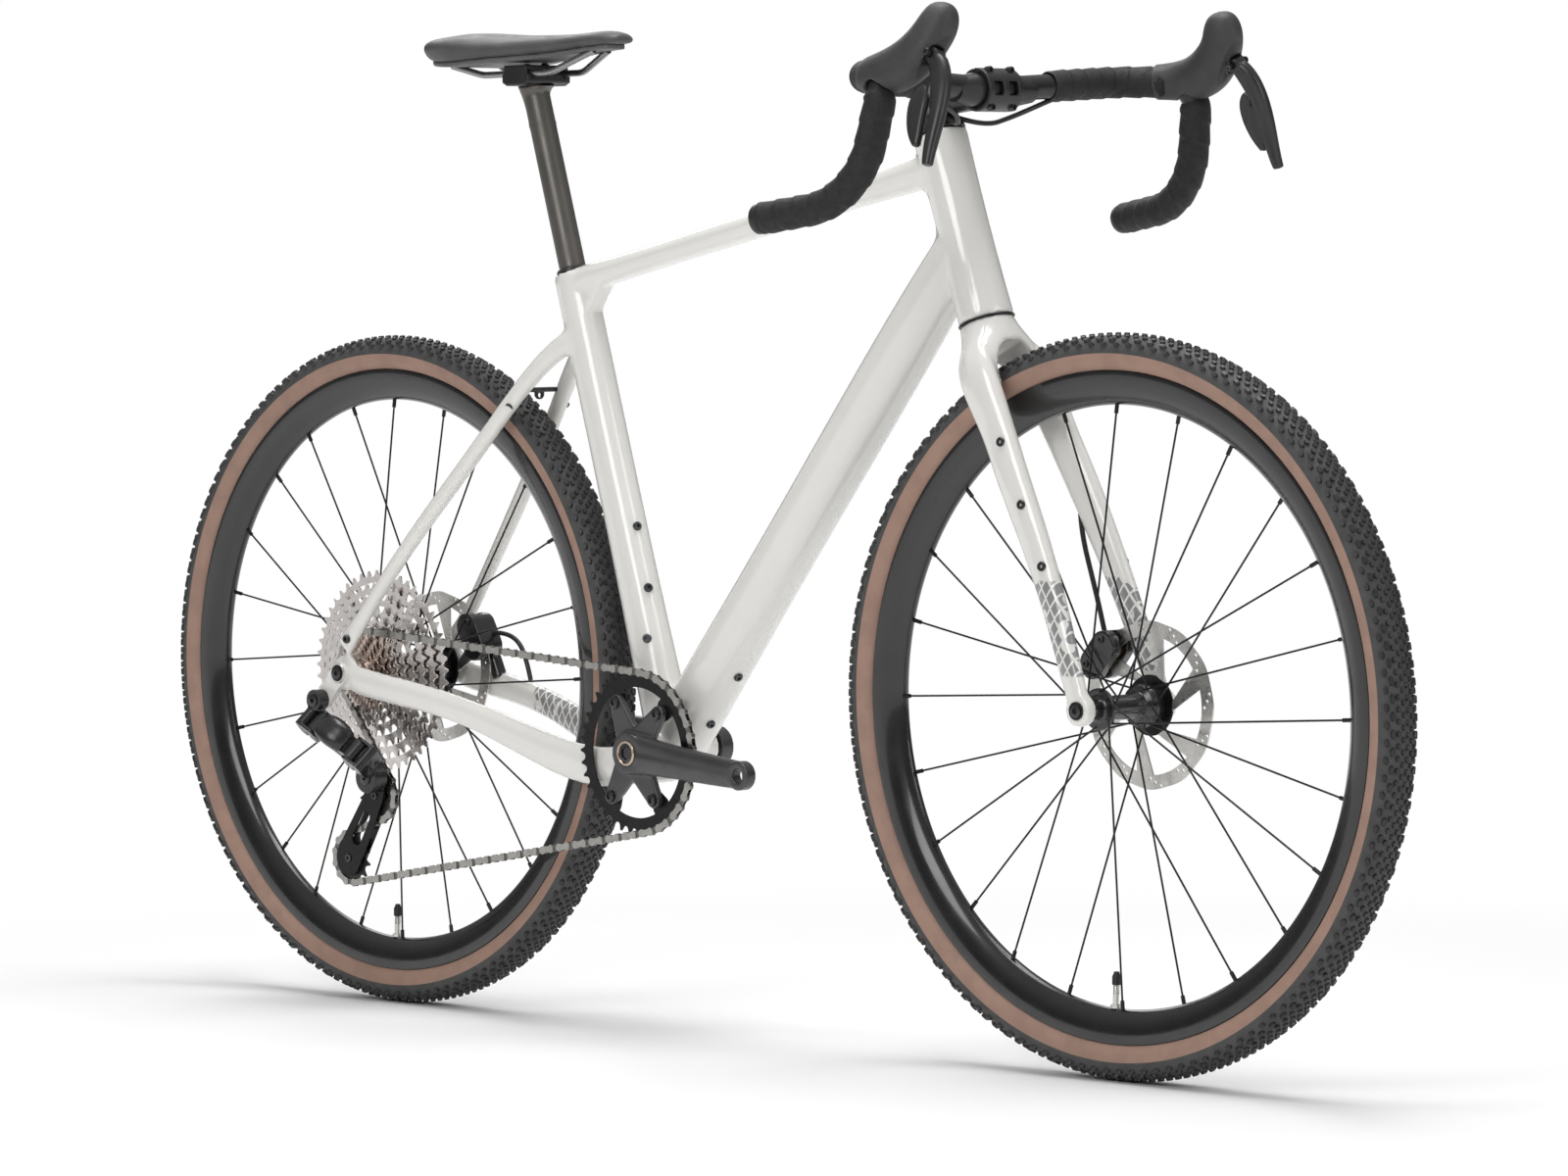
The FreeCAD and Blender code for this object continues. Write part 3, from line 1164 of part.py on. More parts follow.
def cage():
    """Two long plates joined by the pulley bolts, turning on the lower knuckle."""
    pivot = REAR_AXLE + CAGE_PIVOT
    outer = CHAIN_PLANE - CAGE_HALF_GAP
    inner = CHAIN_PLANE + CAGE_HALF_GAP
    thick = Y_AXIS * CAGE_PLATE
    outer_plate = strap(at_y(GUIDE, outer), CAGE_TOP, at_y(TENSION, outer), CAGE_FOOT, Y_AXIS).extrude(-thick)
    collar = strap(at_y(pivot, outer), CAGE_TOP, at_y(GUIDE, outer), CAGE_TOP, Y_AXIS).extrude(-thick)
    inner_plate = strap(at_y(GUIDE, inner), CAGE_TOP, at_y(TENSION, inner), CAGE_INNER_FOOT, Y_AXIS).extrude(thick)
    slot = strap(at_y(mix(GUIDE, TENSION, 0.34), outer - CAGE_HALF_GAP), CAGE_SLOT_TOP,
                 at_y(mix(GUIDE, TENSION, 0.68), outer - CAGE_HALF_GAP), CAGE_SLOT_FOOT,
                 Y_AXIS).extrude(Y_AXIS * (4 * CAGE_HALF_GAP))
    bolts = [bore(spot, PULLEY_BORE - RUNNING_FIT, outer, inner) for spot in (GUIDE, TENSION)]
    body = outer_plate.fuse([collar, inner_plate] + bolts)
    eye = bore(pivot, CAGE_STUB_RADIUS + RUNNING_FIT, outer - 2 * CAGE_PLATE, outer)
    return body.cut([slot, eye]).removeSplitter()


def pulley(centre, order):
    def holes(middle):
        wires = [ring_wire(middle, PULLEY_BORE)]
        for arm in range(PULLEY_HOLES):
            spot = polar(middle, PULLEY_HOLE_CIRCLE, arm * 360 / PULLEY_HOLES)
            wires.append(ring_wire(spot, PULLEY_HOLE_RADIUS))
        return wires
    return sprocket(centre, CHAIN_PLANE, PULLEY_TEETH, PULLEY_THICKNESS, seat_phase(order), holes)


def caliper(axle, plane, spot, foot):
    """Two-piece look caliper over the disc's edge, with its slot for the pads and a foot to its mount."""
    half = ROTOR_THICKNESS / 2 + PAD_GAP + PAD_THICKNESS + CLEARANCE
    thick = half + CALIPER_WALL
    radial = unit(spot - axle)
    across = radial.cross(Y_AXIS)
    ends = [spot + across * (side * CALIPER_SPAN) for side in (-1, 1)]
    body = strap(at_y(ends[0], plane - thick), CALIPER_RADIUS, at_y(ends[1], plane - thick), CALIPER_RADIUS,
                 Y_AXIS).extrude(Y_AXIS * (2 * thick))
    body = body.fuse(foot)
    inward = spot - radial * 40
    low, high = at_y(inward, plane - half), at_y(spot + radial * (CALIPER_RADIUS - CALIPER_BRIDGE), plane - half)
    width = CALIPER_SPAN + 2 * CALIPER_RADIUS
    slot = Part.Face(Part.makePolygon([low - across * width, high - across * width, high + across * width,
                                       low + across * width, low - across * width])).extrude(Y_AXIS * (2 * half))
    return body.cut(slot)


def pad(axle, plane, spot, side):
    """Friction pad beside the disc."""
    radial = unit(spot - axle)
    across = radial.cross(Y_AXIS)
    start = plane + side * (ROTOR_THICKNESS / 2 + PAD_GAP)
    centre = spot - radial * 2
    ends = [at_y(centre + across * (s * PAD_LENGTH / 2), start) for s in (-1, 1)]
    return strap(ends[0], PAD_RADIUS, ends[1], PAD_RADIUS, Y_AXIS).extrude(Y_AXIS * (side * PAD_THICKNESS))


FRONT_ROTOR_PLANE = FRONT_HUB_WIDTH / 2 - ROTOR_OFFSET_FRONT
REAR_ROTOR_PLANE = REAR_HUB_WIDTH / 2 - ROTOR_OFFSET_REAR
FRONT_CALIPER = polar(FRONT_AXLE, ROTOR_RADIUS - CALIPER_INSET, FRONT_CALIPER_ANGLE)
REAR_CALIPER = polar(REAR_AXLE, ROTOR_RADIUS - CALIPER_INSET, REAR_CALIPER_ANGLE)


def front_caliper(fork_shape):
    """Caliper behind the left leg, seated on it."""
    leg = fork_point(318, 44, 53)
    foot = rod(at_y(FRONT_CALIPER, leg.y), leg, FRONT_FOOT_RADIUS)
    return caliper(FRONT_AXLE, FRONT_ROTOR_PLANE, FRONT_CALIPER, foot).cut(fork_shape)


def rear_caliper(frame_shape):
    """Caliper above the left chainstay, seated on it."""
    stay_point = REAR_AXLE + V(82, 68, -10)
    foot = rod(at_y(REAR_CALIPER, 66), stay_point, REAR_FOOT_RADIUS)
    return caliper(REAR_AXLE, REAR_ROTOR_PLANE, REAR_CALIPER, foot).cut(frame_shape)


def front_brake_hose(fork_shape, caliper_shape):
    """Hose from the caliper up behind the left leg to its port in the leg."""
    top = FRONT_CALIPER + V(-4, 0, 10)
    route = [at_y(top, 44), at_y(top, 43) + V(-5, 0, 22), at_y(top, 42) + V(-13, 0, 52),
             fork_point(214, 14, 42), fork_point(190, 20, 44)]
    return largest(hose(route).cut([fork_shape, caliper_shape]))


def rear_brake_hose(frame_shape, caliper_shape):
    """Hose from the caliper forward and down to its port in the left chainstay."""
    start = REAR_CALIPER + V(12, 0, 4)
    route = [at_y(start, 64), at_y(start, 64) + V(19, 0, 1), at_y(start, 65) + V(41, 0, -8),
             at_y(start, 64) + V(54, 0, -30), at_y(start, 63) + V(60, 0, -48)]
    return largest(hose(route).cut([frame_shape, caliper_shape]))


def headset_cover():
    """Cone from the head tube's top to the stem, with the steerer through it."""
    foot = HEAD_TUBE_LENGTH + CROWN_GAP
    top = HEAD_TUBE_LENGTH + COVER_HEIGHT
    return turned(((STEERER_RADIUS, foot), (HEAD_RADIUS_TOP, foot), (HEAD_RADIUS_TOP - 0.6, foot + 4),
                   (STEERER_RADIUS + STEM_WALL + 1.5, top), (STEERER_RADIUS, top)), HEAD_FOOT, HEAD_UP)


def stem_parts():
    """Stem with its steerer clamp and rear half of the bar clamp, and the separate faceplate."""
    foot = HEAD_TUBE_LENGTH + COVER_HEIGHT
    middle = head(foot + STEM_CLAMP_HEIGHT / 2)
    clamp = rod(head(foot), head(foot + STEM_CLAMP_HEIGHT), STEERER_RADIUS + STEM_WALL)
    run = unit(BAR_CENTRE - middle)
    outer = BAR_CLAMP_RADIUS + BAR_CLAMP_WALL
    arm = moulded(tube_stations(middle, BAR_CENTRE, STEM_ARM), squareness=4.0)
    barrel = bore(BAR_CENTRE, outer, -BAR_CLAMP_WIDTH / 2, BAR_CLAMP_WIDTH / 2)
    up = run.cross(Y_AXIS) * -1
    half = BAR_CLAMP_WIDTH / 2
    corners = [BAR_CENTRE + up * (outer + 5) - Y_AXIS * (half + 1), BAR_CENTRE - up * (outer + 5) - Y_AXIS * (half + 1)]
    front_half = Part.Face(Part.makePolygon([
        corners[0], corners[1], corners[1] + run * 40, corners[0] + run * 40, corners[0],
    ])).extrude(Y_AXIS * (BAR_CLAMP_WIDTH + 2))
    gap = front_half.translated(run * -FACEPLATE_GAP)
    holes = [bore(BAR_CENTRE, BAR_CLAMP_RADIUS, -half - 5, half + 5)]
    body = clamp.fuse([arm, barrel]).cut(
        holes + [gap, headset_cover(), rod(head(foot - 5), head(foot + STEM_CLAMP_HEIGHT + 5), STEERER_RADIUS)])
    plate = barrel.cut(holes).common(front_half)
    reach, wide, high = FACEPLATE_WINDOW
    opening = Part.makeBox(reach, wide, high, V(0, -wide / 2, -high / 2))
    for side in (-1, 1):
        tool = opening.copy()
        tool.Placement = FreeCAD.Placement(BAR_CENTRE + Y_AXIS * (side * FACEPLATE_WINDOW_OUT),
                                           FreeCAD.Rotation(run, Y_AXIS, up, "XYZ"))
        plate = plate.cut(tool)
    return body.removeSplitter(), plate.removeSplitter()


def bar_points():
    return [BAR_CENTRE] + [BAR_CENTRE + bend for bend in BAR_BENDS]


def handlebar():
    """Flared drop bar: thick at the stem, straight tops, forward ramps, hooks and drops."""
    side = tube(rounded_path(bar_points(), BAR_BEND_RADII), BAR_RADIUS)
    bulge = turned(((0, -BAR_BULGE), (BAR_RADIUS, -BAR_BULGE), (BAR_CLAMP_RADIUS, -BAR_BULGE * 0.55),
                    (BAR_CLAMP_RADIUS, BAR_BULGE * 0.55), (BAR_RADIUS, BAR_BULGE), (0, BAR_BULGE)), BAR_CENTRE)
    return side.fuse([mirrored(side), bulge]).removeSplitter()


def tape_paths():
    """Taped stretches of the left side: the tops up to the hood, and the hook below it to the end."""
    points = bar_points()
    start = mix(points[0], points[1], TAPE_START / points[1].y)
    hood_edge = mix(points[1], points[2], HOOD_EDGE)
    tops = rounded_path([start, points[1], hood_edge], BAR_BEND_RADII[:1])
    below = rounded_path([hood_edge] + points[2:], BAR_BEND_RADII[1:]).Edges[1:]
    middle = (below[0].FirstParameter + below[0].LastParameter) / 2
    lower_bend = below[0].Curve.toShape(middle, below[0].LastParameter)
    return tops, Part.Wire([lower_bend] + below[1:])


def tape_solids():
    return [tube(path, BAR_RADIUS + TAPE_THICKNESS) for path in tape_paths()]


def bar_tape(bar):
    """Tape on both sides of the bar, with the plug that closes each end."""
    left = [solid.cut(bar) for solid in tape_solids()]
    points = bar_points()
    outward = unit(points[4] - points[3])
    left.append(rod(points[4], points[4] + outward * 3, BAR_RADIUS + TAPE_THICKNESS - 1))
    return Part.makeCompound(left + [mirrored(piece) for piece in left])


FLARE_SIDE = turn(Y_AXIS, X_AXIS, LEVER_FLARE)
FLARE_DOWN = turn(-Z_AXIS, X_AXIS, LEVER_FLARE)
PIVOT = BAR_CENTRE + LEVER_PIVOT


def lever_point(ahead, down):
    return PIVOT + X_AXIS * ahead + FLARE_DOWN * down


def paddle_pivot(down):
    """Point of the paddle's hinge line, below the lever's pivot."""
    return lever_point(PADDLE_PIVOT, down) + FLARE_SIDE * PADDLE[-1][2]


def hood(bar, tape):
    """Rubber-covered lever body: clamped on the ramp, raised to a horn, slotted for the lever."""
    body = moulded([(BAR_CENTRE + V(x, y, z), width, depth) for x, y, z, width, depth in HOOD], side=FLARE_SIDE)
    half = LEVER_HALF_WIDTH + 2 * CLEARANCE
    reach = LEVER_SLOT_REACH
    room = LEVER_EYE + LEVER_SLOT_ROOM
    corners = [PIVOT + FLARE_SIDE * -half + X_AXIS * a + FLARE_DOWN * d
               for a, d in ((-room, 0), (-room, reach), (reach, reach), (reach, -room), (0, -room))]
    slot = Part.Face(Part.makePolygon(corners + corners[:1])).extrude(FLARE_SIDE * (2 * half))
    eye = rod(PIVOT - FLARE_SIDE * half, PIVOT + FLARE_SIDE * half, room)
    body = body.cut([slot, eye, bar] + tape)
    grip = FLARE_SIDE * (half + 6)
    return body.fuse(rod(PIVOT - grip, PIVOT + grip, LEVER_PIN_RADIUS))


def brake_lever():
    """Curved blade hung on the hood's pin, with the lug and pin that carry the paddle."""
    stations = [(lever_point(ahead, down), width, depth) for ahead, down, width, depth in LEVER]
    blade = moulded(stations, side=FLARE_SIDE, squareness=2.6)
    eye = rod(PIVOT - FLARE_SIDE * LEVER_HALF_WIDTH, PIVOT + FLARE_SIDE * LEVER_HALF_WIDTH, LEVER_EYE)
    through = FLARE_SIDE * (3 * LEVER_HALF_WIDTH)
    hole = rod(PIVOT - through, PIVOT + through, LEVER_PIN_RADIUS + RUNNING_FIT)
    lug = rod(paddle_pivot(PADDLE_LUG_TOP), paddle_pivot(PADDLE_PIVOT_TOP - CLEARANCE), PADDLE_LUG_RADIUS)
    pin = rod(paddle_pivot(PADDLE_LUG_TOP), paddle_pivot(PADDLE_FOOT), PADDLE_PIN_RADIUS)
    return blade.fuse([eye, lug, pin]).cut(hole).removeSplitter()


def shift_paddle():
    """Rounded paddle behind the blade, turning on the blade's pin along its front edge."""
    stations = [(lever_point(ahead, down) + FLARE_SIDE * out, width, depth)
                for ahead, down, out, width, depth in PADDLE]
    plate = moulded(stations, side=FLARE_SIDE, squareness=3.0)
    top, foot = paddle_pivot(PADDLE_PIVOT_TOP), paddle_pivot(PADDLE_FOOT)
    above = paddle_pivot(PADDLE_LUG_TOP - 2)
    notch = rod(above, top, PADDLE_LUG_RADIUS + CLEARANCE)
    hole = rod(above, foot + FLARE_DOWN, PADDLE_PIN_RADIUS + RUNNING_FIT)
    return plate.cut(notch).fuse(rod(top, foot, PADDLE_PIVOT_RADIUS)).cut(hole)


def brake_hoses(stem_shape):
    """Both hoses from under the bar tape, below the stem, into the headset cover."""
    cover = head(HEAD_TUBE_LENGTH + COVER_HEIGHT * 0.55) + HEAD_AHEAD * (HEAD_RADIUS_TOP - 4)
    start = BAR_CENTRE + V(-2, TAPE_START - 6, -BAR_RADIUS - HOSE_RADIUS)
    route = [start, start + V(-1, -14, -3), start + V(-8, -34, -11), start + V(-25, -51, -19), cover + Y_AXIS * 8]
    left = hose(route).cut(stem_shape)
    return Part.makeCompound([left, mirrored(left)])


def seatpost():
    """Round post with the head that carries the saddle clamp."""
    post = rod(seat(POST_FOOT), POST_HEAD, POST_RADIUS)
    top = V(POST_HEAD.x, 0, RAIL_HEIGHT - RAIL_RADIUS - CRADLE_DEPTH)
    neck = POST_RADIUS - 0.4
    head_block = moulded([(seat(POST_TOP - POST_NECK), neck, neck), (mix(POST_HEAD, top, 0.2),) + POST_HEAD_SIZES[0],
                          (top,) + POST_HEAD_SIZES[1]], squareness=2.6)
    return post.fuse(head_block).removeSplitter()


def saddle_clamp():
    """Lower cradle and upper bars that grip both rails, drawn together by two bolts."""
    centre = V(POST_HEAD.x, 0, RAIL_HEIGHT)
    low = RAIL_RADIUS + CRADLE_DEPTH
    half = RAIL_HALF_SPACING + RAIL_RADIUS + 4
    length = CRADLE_LENGTH
    cradle = Part.makeBox(length, 2 * half, low, centre + V(-length / 2, -half, -low))
    upper = Part.makeBox(length - 6, 2 * half, RAIL_RADIUS + 4.5, centre + V(3 - length / 2, -half, 0.6))
    rails = [rod(centre + V(-60, s * RAIL_HALF_SPACING, 0), centre + V(60, s * RAIL_HALF_SPACING, 0), RAIL_RADIUS)
             for s in (-1, 1)]
    arch_radius = length / 2
    arch = rod(centre + V(0, -half - 5, -low - 16), centre + V(0, half + 5, -low - 16), arch_radius)
    arches = [arch.translated(V(side * (arch_radius + 6), 0, 0)) for side in (-1, 1)]
    bolts = [rod(centre + V(x, 0, 0.3), centre + V(x, 0, RAIL_RADIUS + 7.4), CRADLE_BOLT)
             for x in (6.5 - length / 2, length / 2 - 6.5)]
    upper = upper.cut(rails + bolts)
    return Part.makeCompound([cradle.cut(rails + arches), upper] + [bolt.cut(cradle) for bolt in bolts])


def saddle_rails():
    """Two rails from the tail of the shell, under the clamp, up to the nose."""
    nose = V(SADDLE_NOSE, 0, RAIL_HEIGHT)
    level = [nose + V(x, RAIL_HALF_SPACING, 0) for x in RAIL_LEVEL]
    left = tube(rounded_path([nose + RAIL_TAIL] + level + [nose + RAIL_NOSE], RAIL_BENDS), RAIL_RADIUS)
    return Part.makeCompound([left, mirrored(left)])


def saddle_section(x, half, top, depth):
    """Cross-section of the cushion: crowned top, sides drawn in to a flat base."""
    crown = min(PAD_CROWN, half * PAD_CROWN_SHARE)
    lip = V(x, half, top - crown - 2.0)
    under = V(x, half * PAD_TUCK, top - depth)
    rows = [V(x, 0, top), V(x, half * 0.55, top - crown * 0.34), lip, under]
    left = rows[1:]
    right = [V(p.x, -p.y, p.z) for p in reversed(left)]
    upper = Part.BSplineCurve()
    upper.interpolate(right + rows[:1] + left)
    base = Part.LineSegment(left[-1], right[0])
    return Part.Wire([upper.toShape(), base.toShape()])


def saddle_pad():
    """Padded cover: wide and raised at the tail, narrow at the nose."""
    wires = [saddle_section(SADDLE_NOSE + x, half, RAIL_HEIGHT + top, depth) for x, half, top, depth in SADDLE]
    return Part.makeLoft(wires, True, False)


def saddle_shell(rails, pad_shape):
    """Base under the cushion that holds both ends of the rails."""
    wires = []
    for x, half, top, depth in SADDLE[1:-1]:
        y = half * PAD_TUCK - SHELL_INSET
        base = RAIL_HEIGHT + top - depth
        wires.append(Part.makePolygon([V(SADDLE_NOSE + x, s * y, base - d) for s, d in
                                       ((1, 0), (1, SHELL_THICKNESS), (-1, SHELL_THICKNESS), (-1, 0), (1, 0))]))
    body = Part.makeLoft(wires, True, False)
    return body.cut([rails, pad_shape])


def seat_clamp():
    """Ring over the clamp at the seat tube's top, round the post."""
    foot = SEAT_TUBE_LENGTH
    top = foot + COLLAR_HEIGHT
    inner = POST_RADIUS + RUNNING_FIT
    return turned(((inner, foot), (COLLAR_RADIUS, foot), (COLLAR_RADIUS, top - COLLAR_CHAMFER),
                   (COLLAR_RADIUS - COLLAR_CHAMFER, top), (inner, top)), BB, SEAT_UP)


def port_covers(frame_shape):
    """Blanking cover behind the seat tube."""
    spot = seat(PORT_PLACE) + PORT_BACK
    half = SEAT_UP * PORT_HALF_LENGTH
    return rod(spot - half, spot + half, PORT_RADIUS).cut(frame_shape)


def mudguard_bridge(frame_shape):
    """Black arch between the seatstays with its eye in the middle."""
    left = stay_place(*BRIDGE_PLACE)
    right = V(left.x, -left.y, left.z)
    bend = BRIDGE_EYE
    path = rounded_path([left, left + V(3, -8, 2 * bend), right + V(3, 8, 2 * bend), right], (bend, bend))
    arch = tube(path, BRIDGE_RADIUS)
    feet = [rod(spot, spot + V(0, 6 if spot.y > 0 else -6, -6), BRIDGE_FOOT) for spot in (left, right)]
    eye = Part.makeCylinder(BRIDGE_EYE, 3.2, V(left.x + 1.4, 0, left.z + 8), X_AXIS)
    hole = Part.makeCylinder(BRIDGE_RADIUS, 12, V(left.x - 4, 0, left.z + 6.4), X_AXIS)
    return arch.fuse(feet + [eye]).cut([frame_shape, hole]).removeSplitter()


def build():
    nodes = {}
    nodes["frame"] = frame()
    nodes["headset_bearings"] = headset_bearings()
    nodes["bottom_bracket"] = bottom_bracket()
    nodes["seat_clamp"] = seat_clamp()
    nodes["derailleur_hanger"] = derailleur_hanger()
    nodes["rear_axle"] = rear_axle()
    nodes["port_covers"] = port_covers(nodes["frame"])
    nodes["mudguard_bridge"] = mudguard_bridge(nodes["frame"])
    nodes["rear_caliper"] = rear_caliper(nodes["frame"])
    nodes["rear_brake_hose"] = rear_brake_hose(nodes["frame"], nodes["rear_caliper"])
    nodes["chain"] = chain()

    nodes["fork"] = fork()
    nodes["front_axle"] = front_axle()
    nodes["front_caliper"] = front_caliper(nodes["fork"])
    nodes["front_brake_hose"] = front_brake_hose(nodes["fork"], nodes["front_caliper"])
    nodes["headset_cover"] = headset_cover()
    nodes["stem"], nodes["stem_faceplate"] = stem_parts()
    nodes["handlebar"] = handlebar()
    nodes["bar_tape"] = bar_tape(nodes["handlebar"])
    nodes["left_hood"] = hood(nodes["handlebar"], tape_solids())
    nodes["right_hood"] = mirrored(nodes["left_hood"])
    nodes["left_brake_lever"] = brake_lever()
    nodes["right_brake_lever"] = mirrored(nodes["left_brake_lever"])
    nodes["left_shift_paddle"] = shift_paddle()
    nodes["right_shift_paddle"] = mirrored(nodes["left_shift_paddle"])
    nodes["brake_hoses"] = brake_hoses(nodes["stem"].fuse(nodes["headset_cover"]))

    nodes["seatpost"] = seatpost()
    nodes["saddle_clamp"] = saddle_clamp()
    nodes["saddle_rails"] = saddle_rails()
    nodes["saddle_pad"] = saddle_pad()
    nodes["saddle_shell"] = saddle_shell(nodes["saddle_rails"], nodes["saddle_pad"])

    nodes["right_crank"] = right_crank()
    nodes["left_crank"] = left_crank()
    nodes["crank_spindle"] = crank_spindle()
    nodes["chainring"] = chainring()
    nodes["chainring_bolts"] = chainring_bolts()

    for name, axle, flanges, flange_radius, plane in (
            ("front", FRONT_AXLE, FRONT_FLANGES, FRONT_FLANGE_RADIUS, FRONT_ROTOR_PLANE),
            ("rear", REAR_AXLE, REAR_FLANGES, REAR_FLANGE_RADIUS, REAR_ROTOR_PLANE)):
        nodes[name + "_rim"] = rim(axle)
        nodes[name + "_tyre"] = tyre(axle)
        nodes[name + "_spokes"] = spokes(axle, flanges, flange_radius)
        nodes[name + "_rotor"] = rotor(axle, plane)
    nodes["front_hub"] = front_hub()
    nodes["rear_hub"] = rear_hub()
    nodes["cassette"] = cassette()
    nodes["freehub"] = freehub()
    for name, axle, plane, spot in (("front", FRONT_AXLE, FRONT_ROTOR_PLANE, FRONT_CALIPER),
                                    ("rear", REAR_AXLE, REAR_ROTOR_PLANE, REAR_CALIPER)):
        nodes[name + "_pad_outer"] = pad(axle, plane, spot, 1)
        nodes[name + "_pad_inner"] = pad(axle, plane, spot, -1)

    nodes["b_knuckle"] = b_knuckle(nodes["derailleur_hanger"])
    nodes["outer_link"] = outer_link()
    nodes["inner_link"] = inner_link()
    nodes["p_knuckle"] = p_knuckle()
    nodes["cage"] = cage()
    nodes["guide_pulley"] = pulley(GUIDE, 2)
    nodes["tension_pulley"] = pulley(TENSION, 1)
    return nodes


os.makedirs("parts", exist_ok=True)
for node, shape in build().items():
    shape.exportStep("parts/" + node + ".step")
print("links", LINK_COUNT, "cage angle", round(CAGE_ANGLE, 2))
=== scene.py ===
import math

import bmesh
import bpy
from mathutils import Matrix, Vector


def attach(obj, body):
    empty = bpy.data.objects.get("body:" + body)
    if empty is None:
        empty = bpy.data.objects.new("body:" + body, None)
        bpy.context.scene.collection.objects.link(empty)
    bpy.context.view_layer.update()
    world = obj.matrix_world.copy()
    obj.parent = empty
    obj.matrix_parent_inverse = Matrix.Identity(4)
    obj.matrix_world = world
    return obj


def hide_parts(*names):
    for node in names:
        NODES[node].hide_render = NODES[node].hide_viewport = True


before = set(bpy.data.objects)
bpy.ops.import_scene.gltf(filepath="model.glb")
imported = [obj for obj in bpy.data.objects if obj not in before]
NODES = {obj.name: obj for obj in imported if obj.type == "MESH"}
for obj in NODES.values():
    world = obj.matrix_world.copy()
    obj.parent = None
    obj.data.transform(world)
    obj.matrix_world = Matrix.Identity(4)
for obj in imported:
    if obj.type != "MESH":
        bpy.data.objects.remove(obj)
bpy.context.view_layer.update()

bl_info = {
    "name": "Gravel Bike",
    "version": (1, 0, 0),
    "blender": (4, 5, 0),
    "location": "3D View > Sidebar > Gravel Bike",
    "description": "Dresses a gravel bike's solids with tyres, tape, hoods, saddle, paint and metal",
    "category": "Object",
}

# Main places of the solids, in metres
REAR_AXLE = Vector((-0.5187, 0.0, 0.352))
FRONT_AXLE = Vector((0.5187, 0.0, 0.352))
BAR_CENTRE = Vector((0.357, 0.0, 0.936))
BOTTOM_BRACKET = Vector((-0.0985, 0.0, 0.285))
HEAD_FOOT = Vector((0.3472, 0.0, 0.7155))
HEAD_UP = Vector((-0.3156, 0.0, 0.9489))
HEAD_AHEAD = Vector((0.9489, 0.0, 0.3156))
STEM_RUN = Vector((0.9973, 0.0, 0.0740))
STEM_UP = Vector((-0.0740, 0.0, 0.9973))
LEVER_PIVOT = BAR_CENTRE + Vector((0.128, 0.207, 0.024))
FLARE_SIDE = Vector((0.0, 0.9455, 0.3256))
FRONT_CALIPER = Vector((0.4635, 0.0, 0.3983))
REAR_CALIPER = Vector((-0.4551, 0.0, 0.3858))
Y_AXIS = Vector((0.0, 1.0, 0.0))
Z_AXIS = Vector((0.0, 0.0, 1.0))

# The photograph's view: aim in metres, turns in degrees
CAMERA_AIM = Vector((0.0321, 0.0316, 0.4506))
CAMERA_DISTANCE = 6.346
CAMERA_AZIMUTH = 45.8425
CAMERA_HEIGHT = 2.697
CAMERA_ROLL = -0.6528
CAMERA_LENS = 146.04

WHITE = (1.0, 1.0, 1.0, 1.0)
GROUPS = {}
FINISHES = {}


def settings():
    return bpy.context.scene.gravel_bike


def camera_back():
    """Direction from the camera's aim to the camera."""
    azimuth, height = math.radians(CAMERA_AZIMUTH), math.radians(CAMERA_HEIGHT)
    return Vector((math.sin(azimuth) * math.cos(height), -math.cos(azimuth) * math.cos(height),
                   math.sin(height)))


def mirrored_place(place):
    return Vector((place[0], -place[1], place[2]))


def off_axle(place, axle):
    """Distance from an axis across the bike."""
    return math.hypot(place.x - axle.x, place.z - axle.z)


# Shader nodes and the groups that the finishes share

def feed(tree, value, socket):
    """Links a socket, or sets a plain value."""
    if isinstance(value, bpy.types.NodeSocket):
        tree.links.new(value, socket)
    else:
        socket.default_value = value


def new_node(tree, kind, **values):
    """New shader node with its named inputs set."""
    node = tree.nodes.new("ShaderNode" + kind)
    for socket, value in values.items():
        feed(tree, value, node.inputs[socket])
    return node


def own_space(tree):
    """Coordinates in the piece's own space."""
    return new_node(tree, "TexCoord").outputs["Object"]


def noise_node(tree, scale, detail=4.0, rough=0.55):
    return new_node(tree, "TexNoise", Vector=own_space(tree), Scale=scale, Detail=detail,
                    Roughness=rough).outputs["Fac"]


def map_node(tree, value, low, high, to_low, to_high):
    """Smooth map from one range to another."""
    node = new_node(tree, "MapRange", Value=value)
    node.interpolation_type = "SMOOTHSTEP"
    for socket, end in (("From Min", low), ("From Max", high), ("To Min", to_low), ("To Max", to_high)):
        feed(tree, end, node.inputs[socket])
    return node.outputs["Result"]


def mix_node(tree, factor, first, second):
    node = new_node(tree, "Mix")
    node.data_type = "RGBA"
    for number, given in ((0, factor), (6, first), (7, second)):
        feed(tree, given, node.inputs[number])
    return node.outputs[2]


def math_node(tree, operation, first, second):
    node = new_node(tree, "Math")
    node.operation = operation
    feed(tree, first, node.inputs[0])
    feed(tree, second, node.inputs[1])
    return node.outputs[0]


def new_group(name, inputs, outputs):
    """Empty shader group with its named sockets: the tree, what comes in and what goes out."""
    group = bpy.data.node_groups.new(name, "ShaderNodeTree")
    for socket, default in inputs.items():
        kind = "NodeSocketColor" if isinstance(default, tuple) else "NodeSocketFloat"
        group.interface.new_socket(socket, in_out="INPUT", socket_type=kind).default_value = default
    for socket, kind in outputs.items():
        group.interface.new_socket(socket, in_out="OUTPUT", socket_type="NodeSocket" + kind)
    return group, group.nodes.new("NodeGroupInput").outputs, group.nodes.new("NodeGroupOutput").inputs


